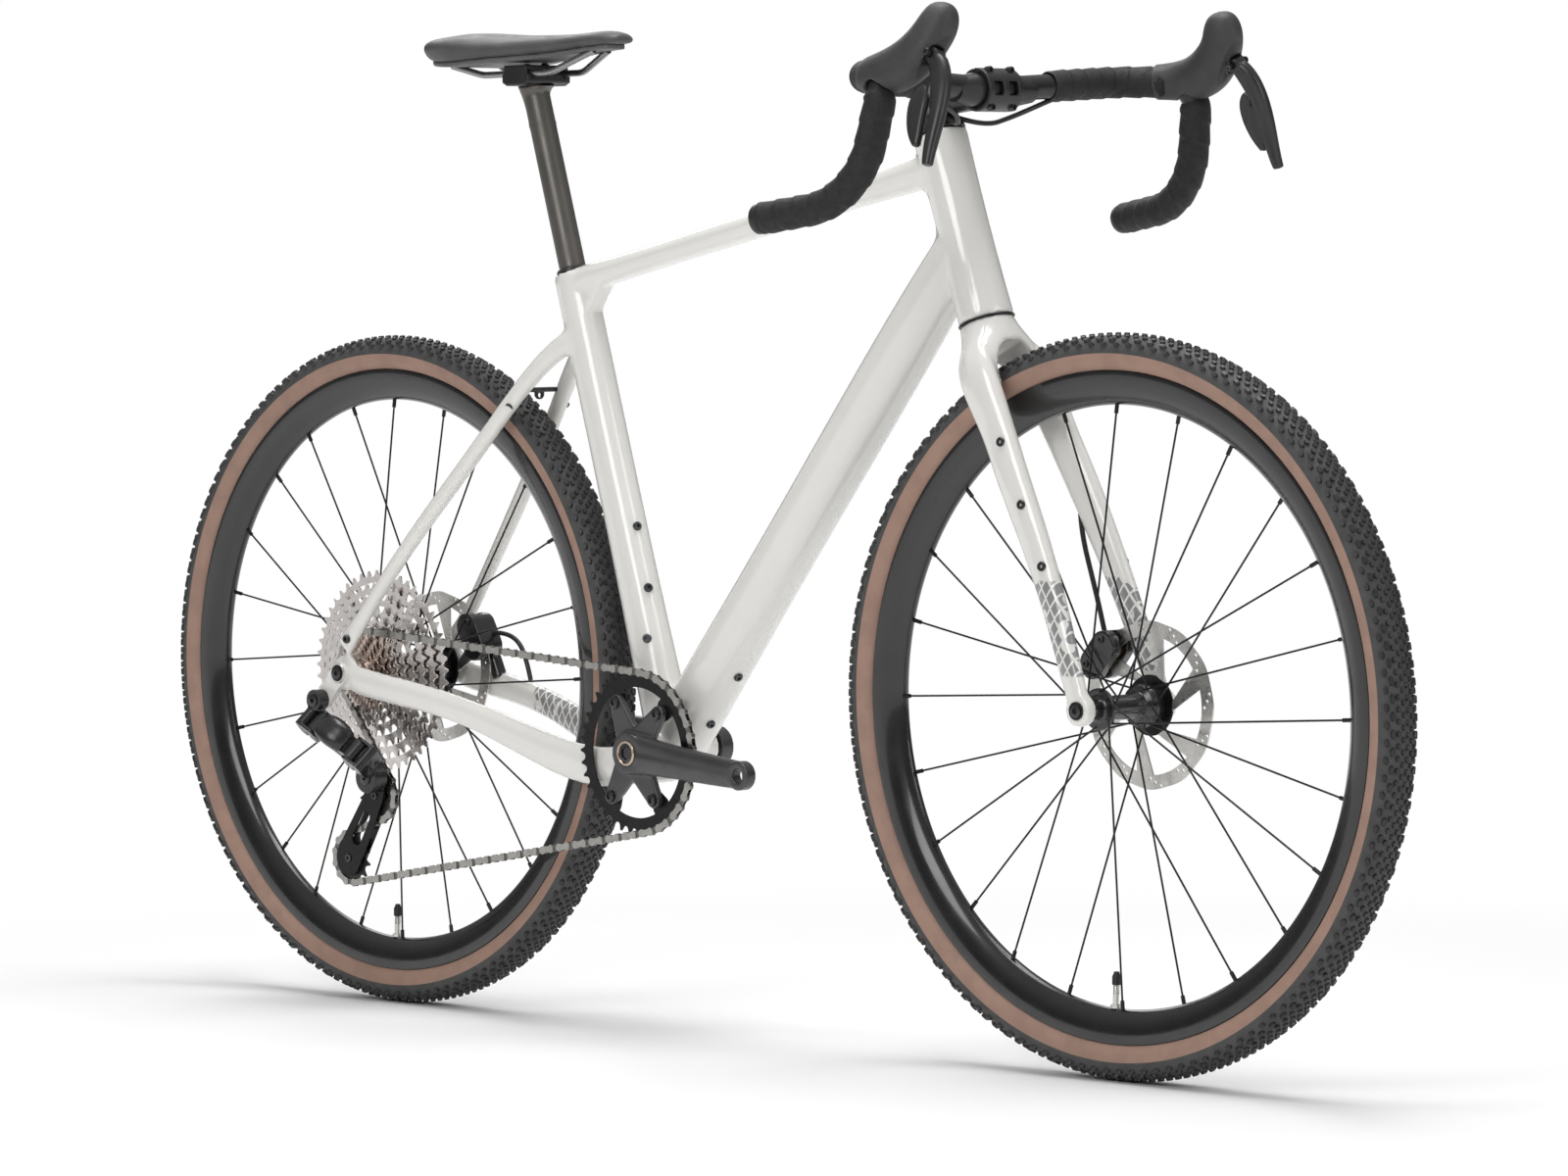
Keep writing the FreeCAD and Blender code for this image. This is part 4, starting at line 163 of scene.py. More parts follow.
def mottle_group():
    """Colour that drifts to a second tone in soft patches."""
    group, start, end = new_group("soft_mottle", dict(Colour=WHITE, Second=WHITE, Scale=20.0),
                                  dict(Colour="Color"))
    mask = map_node(group, noise_node(group, start["Scale"], 6.0), 0.38, 0.66, 0.0, 1.0)
    group.links.new(mix_node(group, mask, start["Colour"], start["Second"]), end["Colour"])
    return group


def wear_group():
    """Rubbed edges and faint scuffs: a second colour where the surface stands out."""
    group, start, end = new_group("rubbed_edges", dict(Colour=WHITE, Worn=WHITE, Amount=0.3),
                                  dict(Colour="Color"))
    edge = map_node(group, new_node(group, "NewGeometry").outputs["Pointiness"], 0.56, 0.66, 0.0, 1.0)
    broken = map_node(group, noise_node(group, 90.0, 6.0, 0.65), 0.42, 0.6, 0.0, 1.0)
    mask = math_node(group, "MULTIPLY", math_node(group, "MULTIPLY", edge, broken), start["Amount"])
    group.links.new(mix_node(group, mask, start["Colour"], start["Worn"]), end["Colour"])
    return group


def spread_group():
    """Roughness that varies between two values, with finer smears in it."""
    group, start, end = new_group("uneven_gloss", dict(Low=0.3, High=0.5, Scale=30.0),
                                  dict(Roughness="Float"))
    noise = noise_node(group, start["Scale"], 8.0, 0.62)
    group.links.new(map_node(group, noise, 0.3, 0.7, start["Low"], start["High"]), end["Roughness"])
    return group


def grain_group():
    """Height of a fine pebbled grain: small cells over softer noise."""
    group, start, end = new_group("pebble_grain", dict(Scale=900.0, Cells=0.5), dict(Height="Float"))
    cells = new_node(group, "TexVoronoi", Vector=own_space(group), Scale=start["Scale"])
    cells.feature = "SMOOTH_F1"
    pebble = math_node(group, "MULTIPLY", cells.outputs["Distance"], start["Cells"])
    group.links.new(math_node(group, "ADD", pebble, noise_node(group, start["Scale"], 3.0)), end["Height"])
    return group


def brushed_group():
    """Height and tone of fine turning marks round the wheel axis."""
    group, start, end = new_group("turned_marks", dict(Scale=700.0, Cross=12.0),
                                  dict(Height="Float", Tone="Float"))
    stretch = new_node(group, "Mapping", Vector=own_space(group), Scale=(1.0, 6.0, 1.0))
    fine = new_node(group, "TexNoise", Vector=stretch.outputs["Vector"], Scale=start["Scale"], Detail=2.0)
    group.links.new(fine.outputs["Fac"], end["Height"])
    marks = math_node(group, "MULTIPLY", fine.outputs["Fac"], noise_node(group, start["Cross"], 5.0))
    group.links.new(map_node(group, marks, 0.1, 0.45, 0.0, 1.0), end["Tone"])
    return group


def group_node(tree, name, **values):
    node = new_node(tree, "Group")
    node.node_tree = GROUPS[name]
    for socket, value in values.items():
        feed(tree, value, node.inputs[socket])
    return node.outputs


def tone(colour, gain=1.0):
    """The same colour made lighter or darker."""
    return tuple(min(1.0, channel * gain) for channel in colour[:3]) + (1.0,)


def bump(tree, sockets, height, strength, distance):
    node = new_node(tree, "Bump", Height=height, Strength=strength, Distance=distance)
    tree.links.new(node.outputs["Normal"], sockets["Normal"])


def finish(name, colour, low, high, metallic=0.0, second=0.86, patch=24.0, grain=None, cells=0.5, worn=None,
           wear=0.0, coat=(0.0, 0.08), specular=0.5):
    """Mottled colour, rubbed edges, uneven gloss; grain is (strength, scale), coat (weight, roughness)."""
    material = FINISHES[name] = bpy.data.materials.new(name)
    material.use_nodes = True
    tree = material.node_tree
    sockets = tree.nodes["Principled BSDF"].inputs
    for socket, value in (("Metallic", metallic), ("Coat Weight", coat[0]), ("Coat Roughness", coat[1]),
                          ("Specular IOR Level", specular)):
        sockets[socket].default_value = value
    base = group_node(tree, "mottle", Colour=tone(colour), Second=tone(colour, second), Scale=patch)["Colour"]
    if wear:
        base = group_node(tree, "wear", Colour=base, Worn=tone(worn), Amount=wear)["Colour"]
    tree.links.new(base, sockets["Base Color"])
    gloss = group_node(tree, "spread", Low=low, High=high, Scale=patch * 1.7)
    tree.links.new(gloss["Roughness"], sockets["Roughness"])
    if grain:
        strength, scale = grain
        bump(tree, sockets, group_node(tree, "grain", Scale=scale, Cells=cells)["Height"], strength, 0.0006)
    return tree, sockets, base


def turned_metal(name, colour, low, high):
    """Bright metal with turning marks."""
    tree, sockets, base = finish(name, colour, low, high, metallic=1.0, second=0.9, patch=60.0)
    marks = group_node(tree, "brushed", Scale=900.0, Cross=14.0)
    tree.links.new(mix_node(tree, marks["Tone"], tone(colour, 0.93), base), sockets["Base Color"])
    bump(tree, sockets, marks["Height"], 0.03, 0.0003)


def paint_finish(name, colour, slabs):
    """Off-white lacquer under a clear coat, with grey lozenges where all the slabs (axis, low, high) meet."""
    tree, sockets, base = finish(name, colour, 0.14, 0.24, second=0.975, patch=7.0, grain=(0.008, 260.0),
                                 cells=0.2, coat=(0.85, 0.03))
    slant = new_node(tree, "Mapping", Vector=own_space(tree), Rotation=(0.0, math.radians(45), 0.0),
                     Scale=(1.0, 0.0, 0.62))
    cells = new_node(tree, "TexVoronoi", Vector=slant.outputs["Vector"], Scale=120.0, Randomness=0.0)
    cells.distance = "CHEBYCHEV"
    lozenge = map_node(tree, cells.outputs["Distance"], 0.39, 0.42, 1.0, 0.0)
    shown = map_node(tree, noise_node(tree, 55.0, 1.0), 0.36, 0.4, 0.0, 1.0)
    mask = math_node(tree, "MULTIPLY", lozenge, shown)
    blur = 0.0015
    split = new_node(tree, "SeparateXYZ", Vector=own_space(tree)).outputs
    for axis, low, high in slabs:
        rise = map_node(tree, split[axis], low - blur, low + blur, 0.0, 1.0)
        fall = map_node(tree, split[axis], high - blur, high + blur, 1.0, 0.0)
        mask = math_node(tree, "MULTIPLY", mask, math_node(tree, "MULTIPLY", rise, fall))
    tree.links.new(mix_node(tree, mask, base, tone(settings().band_colour)), sockets["Base Color"])


def make_finishes():
    GROUPS.update(mottle=mottle_group(), wear=wear_group(), spread=spread_group(), grain=grain_group(),
                  brushed=brushed_group())
    own = settings()
    black = own.black_colour
    paint_finish("frame_lacquer", own.paint_colour, ((0, -0.37, -0.282), (1, 0.0, 0.1), (2, 0.24, 0.36)))
    paint_finish("fork_lacquer", own.paint_colour, ((2, 0.384, 0.472), (0, 0.40, 0.56)))
    finish("satin_black", black, 0.3, 0.44, grain=(0.05, 700.0), worn=(0.16, 0.16, 0.16), wear=0.2)
    finish("gloss_black", tone(black, 0.9), 0.16, 0.26, second=1.3, patch=50.0, grain=(0.03, 900.0),
           coat=(0.5, 0.12))
    finish("rim_composite", tone(black, 0.6), 0.18, 0.28, second=1.3, patch=16.0, grain=(0.02, 420.0),
           coat=(0.5, 0.06))
    finish("link_composite", tone(black, 1.5), 0.24, 0.36, metallic=0.3, second=1.25, patch=60.0,
           grain=(0.05, 900.0), coat=(0.3, 0.2))
    finish("post_composite", own.post_colour, 0.3, 0.42, metallic=0.45, second=0.9, patch=30.0,
           grain=(0.06, 650.0))
    finish("anodised", tone(black, 1.1), 0.24, 0.36, metallic=0.7, second=1.2, patch=90.0,
           grain=(0.04, 1100.0))
    finish("crank_finish", own.crank_colour, 0.26, 0.38, metallic=0.55, second=0.9, patch=40.0,
           grain=(0.05, 900.0), worn=(0.2, 0.2, 0.21), wear=0.25)
    turned_metal("bright_steel", (0.7, 0.69, 0.66), 0.24, 0.36)
    turned_metal("cassette_steel", (0.78, 0.74, 0.72), 0.2, 0.34)
    turned_metal("small_cog_steel", (0.74, 0.65, 0.6), 0.22, 0.36)
    turned_metal("chain_steel", (0.42, 0.41, 0.39), 0.22, 0.38)
    # Darker steel for the chain between its outer plates: painted shade of the gaps between the plates
    turned_metal("between_plates_painted_shade", (0.2, 0.195, 0.185), 0.3, 0.45)
    turned_metal("rail_steel", (0.3, 0.3, 0.305), 0.2, 0.32)
    turned_metal("bronze_ring", (0.62, 0.5, 0.4), 0.22, 0.34)
    finish("spoke_steel", (0.02, 0.02, 0.021), 0.26, 0.38, metallic=0.6)
    finish("casing_rubber", tone(own.tread_colour, 4.0), 0.58, 0.72, second=0.8, patch=80.0,
           grain=(0.25, 1800.0), specular=0.4)
    finish("tread_rubber", own.tread_colour, 0.36, 0.54, second=1.3, patch=60.0, grain=(0.2, 1500.0))
    finish("tan_wall", own.wall_colour, 0.58, 0.74, second=0.88, patch=38.0, grain=(0.3, 1800.0))
    finish("hood_rubber", tone(black, 2.7), 0.46, 0.6, second=1.15, patch=70.0, grain=(0.25, 1500.0),
           cells=0.9)
    finish("bar_tape", tone(black, 0.9), 0.52, 0.7, second=1.3, patch=90.0, grain=(0.7, 1050.0), cells=1.2,
           specular=0.4)
    finish("lever_coat", own.lever_colour, 0.26, 0.38, metallic=0.35, grain=(0.05, 1200.0),
           worn=(0.2, 0.2, 0.2), wear=0.2)
    finish("hose_sleeve", (0.02, 0.02, 0.02), 0.34, 0.5, grain=(0.1, 2200.0))
    finish("saddle_cover", (0.06, 0.06, 0.061), 0.4, 0.54, second=1.25, patch=40.0, grain=(0.35, 1500.0),
           cells=1.0)
    finish("saddle_base", (0.12, 0.12, 0.12), 0.45, 0.6, grain=(0.2, 1600.0))
    finish("moulded_plastic", tone(black, 1.1), 0.34, 0.48, grain=(0.12, 1400.0))
    finish("friction_compound", (0.16, 0.11, 0.08), 0.7, 0.85, second=1.5, patch=900.0, grain=(0.4, 2500.0))
    finish("bolt_steel", (0.06, 0.06, 0.064), 0.24, 0.36, metallic=0.8, second=1.3, patch=300.0,
           grain=(0.04, 2000.0))


# Mesh tools

def link_object(name, data):
    obj = bpy.data.objects.new(name, data)
    bpy.context.scene.collection.objects.link(obj)
    return obj


def coated(mesh, finishes, marks=None):
    """Gives a mesh its finishes; marks has the number of each face's finish."""
    mesh.materials.clear()
    for name in finishes:
        mesh.materials.append(FINISHES[name])
    mesh.polygons.foreach_set("material_index", marks or [0] * len(mesh.polygons))


def piece(name, mesh, body, slot, material, *nodes, place=None):
    """Finished piece on its body; it stands for the named solids."""
    obj = link_object(name, mesh)
    if place is not None:
        obj.location = place
    if material is not None:
        coated(mesh, (material,))
    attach(obj, body)
    if nodes:
        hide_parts(*nodes)
    return obj


def smooth_mesh(mesh, angle=None):
    mesh.polygons.foreach_set("use_smooth", [True] * len(mesh.polygons))
    if angle is not None:
        mesh.set_sharp_from_angle(angle=math.radians(angle))
    mesh.update()
    return mesh


def new_mesh(name, points, faces):
    mesh = bpy.data.meshes.new(name)
    mesh.from_pydata(points, [], faces)
    return mesh


def stood(mesh, upright, axis, place):
    """Mesh turned from its upright direction to an axis, and moved to its place."""
    turn = upright.rotation_difference(Vector(axis)).to_matrix().to_4x4()
    mesh.transform(Matrix.Translation(Vector(place)) @ turn)
    return mesh


def softened(node, voxel, rounds, swell=0.0):
    """A solid's mesh with every edge and corner melted round by about two voxels."""
    mesh = NODES[node].data.copy()
    work = bmesh.new()
    work.from_mesh(mesh)
    bmesh.ops.remove_doubles(work, verts=work.verts, dist=1e-6)
    work.to_mesh(mesh)
    work.free()
    obj = link_object(node + "_melt", mesh)
    remesh = obj.modifiers.new("even", "REMESH")
    remesh.mode = "VOXEL"
    remesh.voxel_size = voxel
    remesh.use_smooth_shade = True
    smooth = obj.modifiers.new("melt", "SMOOTH")
    smooth.factor = 0.5
    smooth.iterations = rounds
    if swell:
        push = obj.modifiers.new("swell", "DISPLACE")
        push.strength = swell
        push.mid_level = 0.0
    graph = bpy.context.evaluated_depsgraph_get()
    melted = bpy.data.meshes.new_from_object(obj.evaluated_get(graph))
    bpy.data.objects.remove(obj)
    return smooth_mesh(melted)


def soft_piece(name, node, body, slot, material, *melt):
    """Piece with the melted shape of one solid."""
    return piece(name, softened(node, *melt), body, slot, material, node)


def grid_faces(rows, count, round_rows, round_count):
    """Quads between rows of points; rows and the points in a row may close into a ring."""
    faces = []
    for i in range(rows if round_rows else rows - 1):
        after = (i + 1) % rows
        for k in range(count if round_count else count - 1):
            n = (k + 1) % count
            faces.append((i * count + k, i * count + n, after * count + n, after * count + k))
    return faces


def spun(profile, steps, closed=True):
    """Ring mesh: (radius, along Y) corners carried round the Y axis."""
    points = []
    for i in range(steps):
        angle = 2 * math.pi * i / steps
        points.extend((r * math.cos(angle), y, r * math.sin(angle)) for r, y in profile)
    mesh = new_mesh("ring", points, grid_faces(steps, len(profile), True, closed))
    mesh.validate()
    return smooth_mesh(mesh)


def spline_points(corners, steps):
    """Points on a smooth curve through the corners."""
    out = []
    last = len(corners) - 1
    for i in range(last):
        a, b, c, d = (Vector(corners[min(max(i + k, 0), last)]) for k in (-1, 0, 1, 2))
        for k in range(steps):
            t = k / steps
            out.append(0.5 * ((2 * b) + (c - a) * t + (2 * a - 5 * b + 4 * c - d) * t * t
                              + (3 * b - a - 3 * c + d) * t ** 3))
    out.append(Vector(corners[-1]))
    return out


def rounded_half(corners):
    """Half of a section as a smooth line of (radius, along the axle) points that ends in mid-plane."""
    return [(p.x, p.y) for p in spline_points([(r, y, 0.0) for r, y in corners], 4)]


def both_halves(half):
    return half + [(r, -y) for r, y in reversed(half[:-1])]


def joined(meshes, name):
    """One mesh from several, each with its own material list kept."""
    work = bmesh.new()
    materials = []
    for mesh in meshes:
        start = len(work.faces)
        shift = []
        for material in mesh.materials:
            if material not in materials:
                materials.append(material)
            shift.append(materials.index(material))
        work.from_mesh(mesh)
        work.faces.ensure_lookup_table()
        for face in work.faces[start:]:
            if shift:
                face.material_index = shift[min(face.material_index, len(shift) - 1)]
    out = bpy.data.meshes.new(name)
    work.to_mesh(out)
    work.free()
    for material in materials:
        out.materials.append(material)
    return out


def bolt_mesh(radius, height, socket):
    """Round socket-head bolt standing on its origin along +Z, with a hexagon recess."""
    count = 24
    sixth = math.pi / 6
    turns = [2 * math.pi * i / count for i in range(count)]
    points = []
    for r, z in ((radius * 0.98, 0.0), (radius, height * 0.15), (radius, height * 0.72),
                 (radius * 0.86, height)):
        points.extend((r * math.cos(angle), r * math.sin(angle), z) for angle in turns)
    for z in (height, height - socket * 1.1):
        for angle in turns:
            flat = socket * math.cos(sixth) / math.cos((angle + sixth) % (2 * sixth) - sixth)
            points.append((flat * math.cos(angle), flat * math.sin(angle), z))
    faces = grid_faces(6, count, False, True)
    faces.append(tuple(range(5 * count, 6 * count)))
    faces.append(tuple(reversed(range(count))))
    return smooth_mesh(new_mesh("bolt", points, faces), 35)


def bolt(name, body, place, axis, sizes, slot="anodised_black"):
    """Bolt of (radius, height, socket) sizes that stands on its place."""
    piece(name, stood(bolt_mesh(*sizes), Z_AXIS, axis, place), body, slot, "bolt_steel")


def seated_bolt(name, body, obj, start, heading, sink, sizes):
    """Bolt where a ray meets a piece, sunk a little into it; gives its place and its axis."""
    graph = bpy.context.evaluated_depsgraph_get()
    hit, place, normal, _ = obj.evaluated_get(graph).ray_cast(Vector(start), Vector(heading).normalized())
    if not hit:
        raise RuntimeError("nothing to seat a bolt on near " + str(tuple(start)))
    seat = place - normal * sink
    bolt(name, body, seat, normal, sizes)
    return seat, normal


def dress_split(node, materials, pick, angle):
    """Several finishes for a solid that keeps its own shape, picked by the middle of each face."""
    mesh = NODES[node].data
    coated(mesh, materials, [pick(face.center) for face in mesh.polygons])
    smooth_mesh(mesh, angle)


def dress(node, material, angle=32):
    """Better finish for a solid that keeps its own shape."""
    coated(NODES[node].data, (material,))
    smooth_mesh(NODES[node].data, angle)


def ring_piece(name, body, slot, material, profile, place, axis, steps=48):
    """Closed ring of (radius, along the axis) corners round an axis."""
    mesh = stood(spun(profile, steps), Y_AXIS, axis, place)
    piece(name, smooth_mesh(mesh, 40), body, slot, material)


class GravelBikeSettings(bpy.types.PropertyGroup):
    paint_colour: bpy.props.FloatVectorProperty(
        name="Paint", description="Lacquer of frame and fork", subtype="COLOR", size=3, min=0, max=1,
        default=(0.82, 0.81, 0.775))
    band_colour: bpy.props.FloatVectorProperty(
        name="Lozenge bands", description="Grey of the pattern on stays and fork legs", subtype="COLOR",
        size=3, min=0, max=1, default=(0.27, 0.27, 0.275))
    black_colour: bpy.props.FloatVectorProperty(
        name="Black parts", description="Base black of metal, composite and rubber", subtype="COLOR", size=3,
        min=0, max=1, default=(0.014, 0.014, 0.0145))
    post_colour: bpy.props.FloatVectorProperty(
        name="Seatpost", description="Dark grey of the seatpost", subtype="COLOR", size=3, min=0, max=1,
        default=(0.125, 0.117, 0.107))
    crank_colour: bpy.props.FloatVectorProperty(
        name="Cranks", description="Dark grey of the crank arms", subtype="COLOR", size=3, min=0, max=1,
        default=(0.085, 0.085, 0.088))
    lever_colour: bpy.props.FloatVectorProperty(
        name="Levers", description="Coating of brake levers and shift paddles", subtype="COLOR", size=3,
        min=0, max=1, default=(0.04, 0.04, 0.041))
    tread_colour: bpy.props.FloatVectorProperty(
        name="Tread", description="Black of the tyre tread", subtype="COLOR", size=3, min=0, max=1,
        default=(0.018, 0.018, 0.018))
    wall_colour: bpy.props.FloatVectorProperty(
        name="Tyre wall", description="Tan of the tyre's sidewall", subtype="COLOR", size=3, min=0, max=1,
        default=(0.365, 0.23, 0.177))
    tyre_radius: bpy.props.FloatProperty(
        name="Tyre radius", description="From axle to the tops of the centre knobs", subtype="DISTANCE",
        unit="LENGTH", default=0.3526)
    knob_pitch: bpy.props.FloatProperty(
        name="Knob pitch", description="Distance between knobs of one centre row", subtype="DISTANCE",
        unit="LENGTH", default=0.0112)
    knob_height: bpy.props.FloatProperty(
        name="Knob height", description="How far the tread knobs stand out", subtype="DISTANCE",
        unit="LENGTH", default=0.0024)
    wrap_pitch: bpy.props.FloatProperty(
        name="Tape pitch", description="Distance from one turn of bar tape to the next", subtype="DISTANCE",
        unit="LENGTH", default=0.021)
    wrap_step: bpy.props.FloatProperty(
        name="Tape step", description="Height of the overlap between turns of tape", subtype="DISTANCE",
        unit="LENGTH", default=0.0011)


class GRAVEL_OT_stage(bpy.types.Operator):
    """Floor, backdrop, lamps and the camera of the photograph"""
    bl_idname = "gravel.stage"
    bl_label = "Stage"

    # Name, place, aim, size in metres, power in watts
    LAMPS = (("top_softbox", (0.1, 0.1, 3.4), (0.0, 0.0, 0.4), 1.9, 80.0),
             ("key_softbox", (0.9, -3.4, 2.2), (0.0, 0.0, 0.45), 1.8, 44.0),
             ("fill_softbox", (3.8, 0.6, 1.8), (0.1, 0.0, 0.5), 1.6, 22.0),
             ("back_softbox", (-2.8, 1.8, 2.6), (-0.1, 0.0, 0.5), 2.0, 26.0))
    FLOOR_HALF = 14.0
    FLOOR_DROP = 0.0008

    def execute(self, context):
        context.scene.view_settings.view_transform = "Standard"
        self.camera(context.scene)
        self.floor()
        self.world(context.scene)
        for name, place, aim, size, power in self.LAMPS:
            lamp = bpy.data.lights.new(name, "AREA")
            lamp.shape = "SQUARE"
            lamp.size = size
            lamp.energy = power
            obj = link_object(name, lamp)
            obj.location = place
            obj.rotation_euler = (Vector(aim) - Vector(place)).to_track_quat("-Z", "Y").to_euler()
        return {"FINISHED"}

    def camera(self, scene):
        azimuth, roll = math.radians(CAMERA_AZIMUTH), math.radians(CAMERA_ROLL)
        back = camera_back()
        right = Vector((math.cos(azimuth), math.sin(azimuth), 0.0))
        up = back.cross(right)
        c, s = math.cos(roll), math.sin(roll)
        turn = Matrix((right * c + up * s, up * c - right * s, back)).transposed().to_4x4()
        view = bpy.data.cameras.new("camera")
        view.sensor_width = 36.0
        view.lens = CAMERA_LENS
        scene.camera = link_object("camera", view)
        scene.camera.matrix_world = Matrix.Translation(CAMERA_AIM + back * CAMERA_DISTANCE) @ turn

    def blend(self, tree, share, first, second, output):
        """Two shaders mixed into the surface of a material or a world."""
        mix = new_node(tree, "MixShader", Fac=share)
        tree.links.new(first.outputs[0], mix.inputs[1])
        tree.links.new(second.outputs[0], mix.inputs[2])
        tree.links.new(mix.outputs[0], tree.nodes[output].inputs["Surface"])

    def floor(self):
        """Pale floor that fades into the white backdrop away from the bike."""
        size = self.FLOOR_HALF
        mesh = new_mesh("studio_floor",
                        [(-size, -size, 0), (size, -size, 0), (size, size, 0), (-size, size, 0)],
                        [(0, 1, 2, 3)])
        obj = link_object("studio_floor", mesh)
        obj.location = (0.0, 0.0, -self.FLOOR_DROP)
        material = bpy.data.materials.new("floor_white")
        material.use_nodes = True
        tree = material.node_tree
        shader = tree.nodes["Principled BSDF"]
        shader.inputs["Base Color"].default_value = (0.9, 0.9, 0.9, 1.0)
        shader.inputs["Roughness"].default_value = 0.9
        length = new_node(tree, "VectorMath")
        length.operation = "LENGTH"
        tree.links.new(own_space(tree), length.inputs[0])
        far = map_node(tree, length.outputs["Value"], 0.9, 1.7, 0.0, 1.0)
        rays = new_node(tree, "LightPath").outputs
        seen = math_node(tree, "MAXIMUM", rays["Is Camera Ray"], rays["Is Glossy Ray"])
        glow = new_node(tree, "Emission")
        self.blend(tree, math_node(tree, "MULTIPLY", far, seen), shader, glow, "Material Output")
        mesh.materials.append(material)

    def world(self, scene):
        """Soft light that grows upward, behind a white backdrop."""
        scene.world = bpy.data.worlds.new("studio_world")
        scene.world.use_nodes = True
        tree = scene.world.node_tree
        light = tree.nodes["Background"]
        light.inputs["Color"].default_value = WHITE
        split = new_node(tree, "SeparateXYZ", Vector=new_node(tree, "TexCoord").outputs["Generated"])
        tree.links.new(map_node(tree, split.outputs["Z"], 0.0, 0.8, 0.10, 0.44), light.inputs["Strength"])
        white = new_node(tree, "Background", Color=WHITE, Strength=1.0)
        rays = new_node(tree, "LightPath").outputs
        seen = math_node(tree, "MAXIMUM", rays["Is Camera Ray"], rays["Is Transmission Ray"])
        self.blend(tree, seen, light, white, "World Output")


class GRAVEL_OT_frame(bpy.types.Operator):
    """Frame and fork with melted junctions, and the fittings on them"""
    bl_idname = "gravel.frame"
    bl_label = "Frame and fork"

    # Points on the camera's lines of sight to the bosses and carrier holes
    FRAME_BOSSES = (
        ("seat_tube_boss", ((-0.0836, -0.06, 0.5132), (-0.0685, -0.06, 0.4519), (-0.0707, -0.06, 0.4011))),
        ("down_tube_boss", ((0.0599, -0.06, 0.3675), (0.0198, -0.06, 0.3194))),
        ("stay_eyelet", ((-0.4634, -0.12, 0.3911),)))
    FORK_BOSSES = ((0.4602, -0.1, 0.6036), (0.486, -0.1, 0.5454), (0.5116, -0.1, 0.4884))
    BOSS_SINK = 0.0008

    def execute(self, context):
        shell = soft_piece("frame_shell", "frame", "frame_body", "frame_paint", "frame_lacquer",
                           0.0026, 14, 0.0004)
        legs = soft_piece("fork_shell", "fork", "steering_body", "frame_paint", "fork_lacquer",
                          0.0022, 12, 0.0004)
        context.view_layer.update()
        self.bosses(shell, legs)
        for name, body, axle, outer in (("front_axle_key", "steering_body", FRONT_AXLE, -0.0638),
                                        ("rear_axle_key", "frame_body", REAR_AXLE, -0.0878)):
            bolt(name, body, (axle.x, outer, axle.z), -Y_AXIS, (0.0066, 0.0012, 0.0031))
        for node, material in (("headset_bearings", "bright_steel"), ("seat_clamp", "satin_black"),
                               ("rear_axle", "anodised"), ("front_axle", "anodised"),
                               ("bottom_bracket", "anodised"), ("derailleur_hanger", "frame_lacquer")):
            dress(node, material)
        ring_piece("rear_axle_washer", "frame_body", "steel", "bright_steel",
                   [(0.0085, -0.0002), (0.0104, 0.0), (0.0108, 0.0008), (0.0104, 0.0014), (0.0086, 0.0014)],
                   (REAR_AXLE.x, -0.0860, REAR_AXLE.z), -Y_AXIS)
        ring_piece("crown_seal", "steering_body", "black_satin", "moulded_plastic",
                   [(0.0220, -0.0006), (0.0277, -0.0006), (0.0279, 0.0), (0.0277, 0.0006), (0.0220, 0.0006)],
                   HEAD_FOOT, HEAD_UP, 64)
        soft_piece("seat_port_blank", "port_covers", "frame_body", "black_satin", "moulded_plastic",
                   0.0008, 6)
        soft_piece("stay_bridge", "mudguard_bridge", "frame_body", "black_satin", "satin_black", 0.0006, 4)
        return {"FINISHED"}

    def bosses(self, shell, legs):
        """Bolts of bottle bosses and carrier holes, where the photograph shows them, on the surface."""
        eye = CAMERA_AIM + camera_back() * CAMERA_DISTANCE
        for name, starts in self.FRAME_BOSSES:
            for number, start in enumerate(starts, 1):
                seated_bolt("%s_%d" % (name, number), "frame_body", shell, start, Vector(start) - eye,
                            self.BOSS_SINK, (0.0046, 0.0036, 0.0021))
        sizes = (0.0046, 0.0028, 0.0021)
        for number, start in enumerate(self.FORK_BOSSES, 1):
            seat, normal = seated_bolt("right_fork_boss_%d" % number, "steering_body", legs, start,
                                       Vector(start) - eye, self.BOSS_SINK, sizes)
            bolt("left_fork_boss_%d" % number, "steering_body", mirrored_place(seat), mirrored_place(normal),
                 sizes)


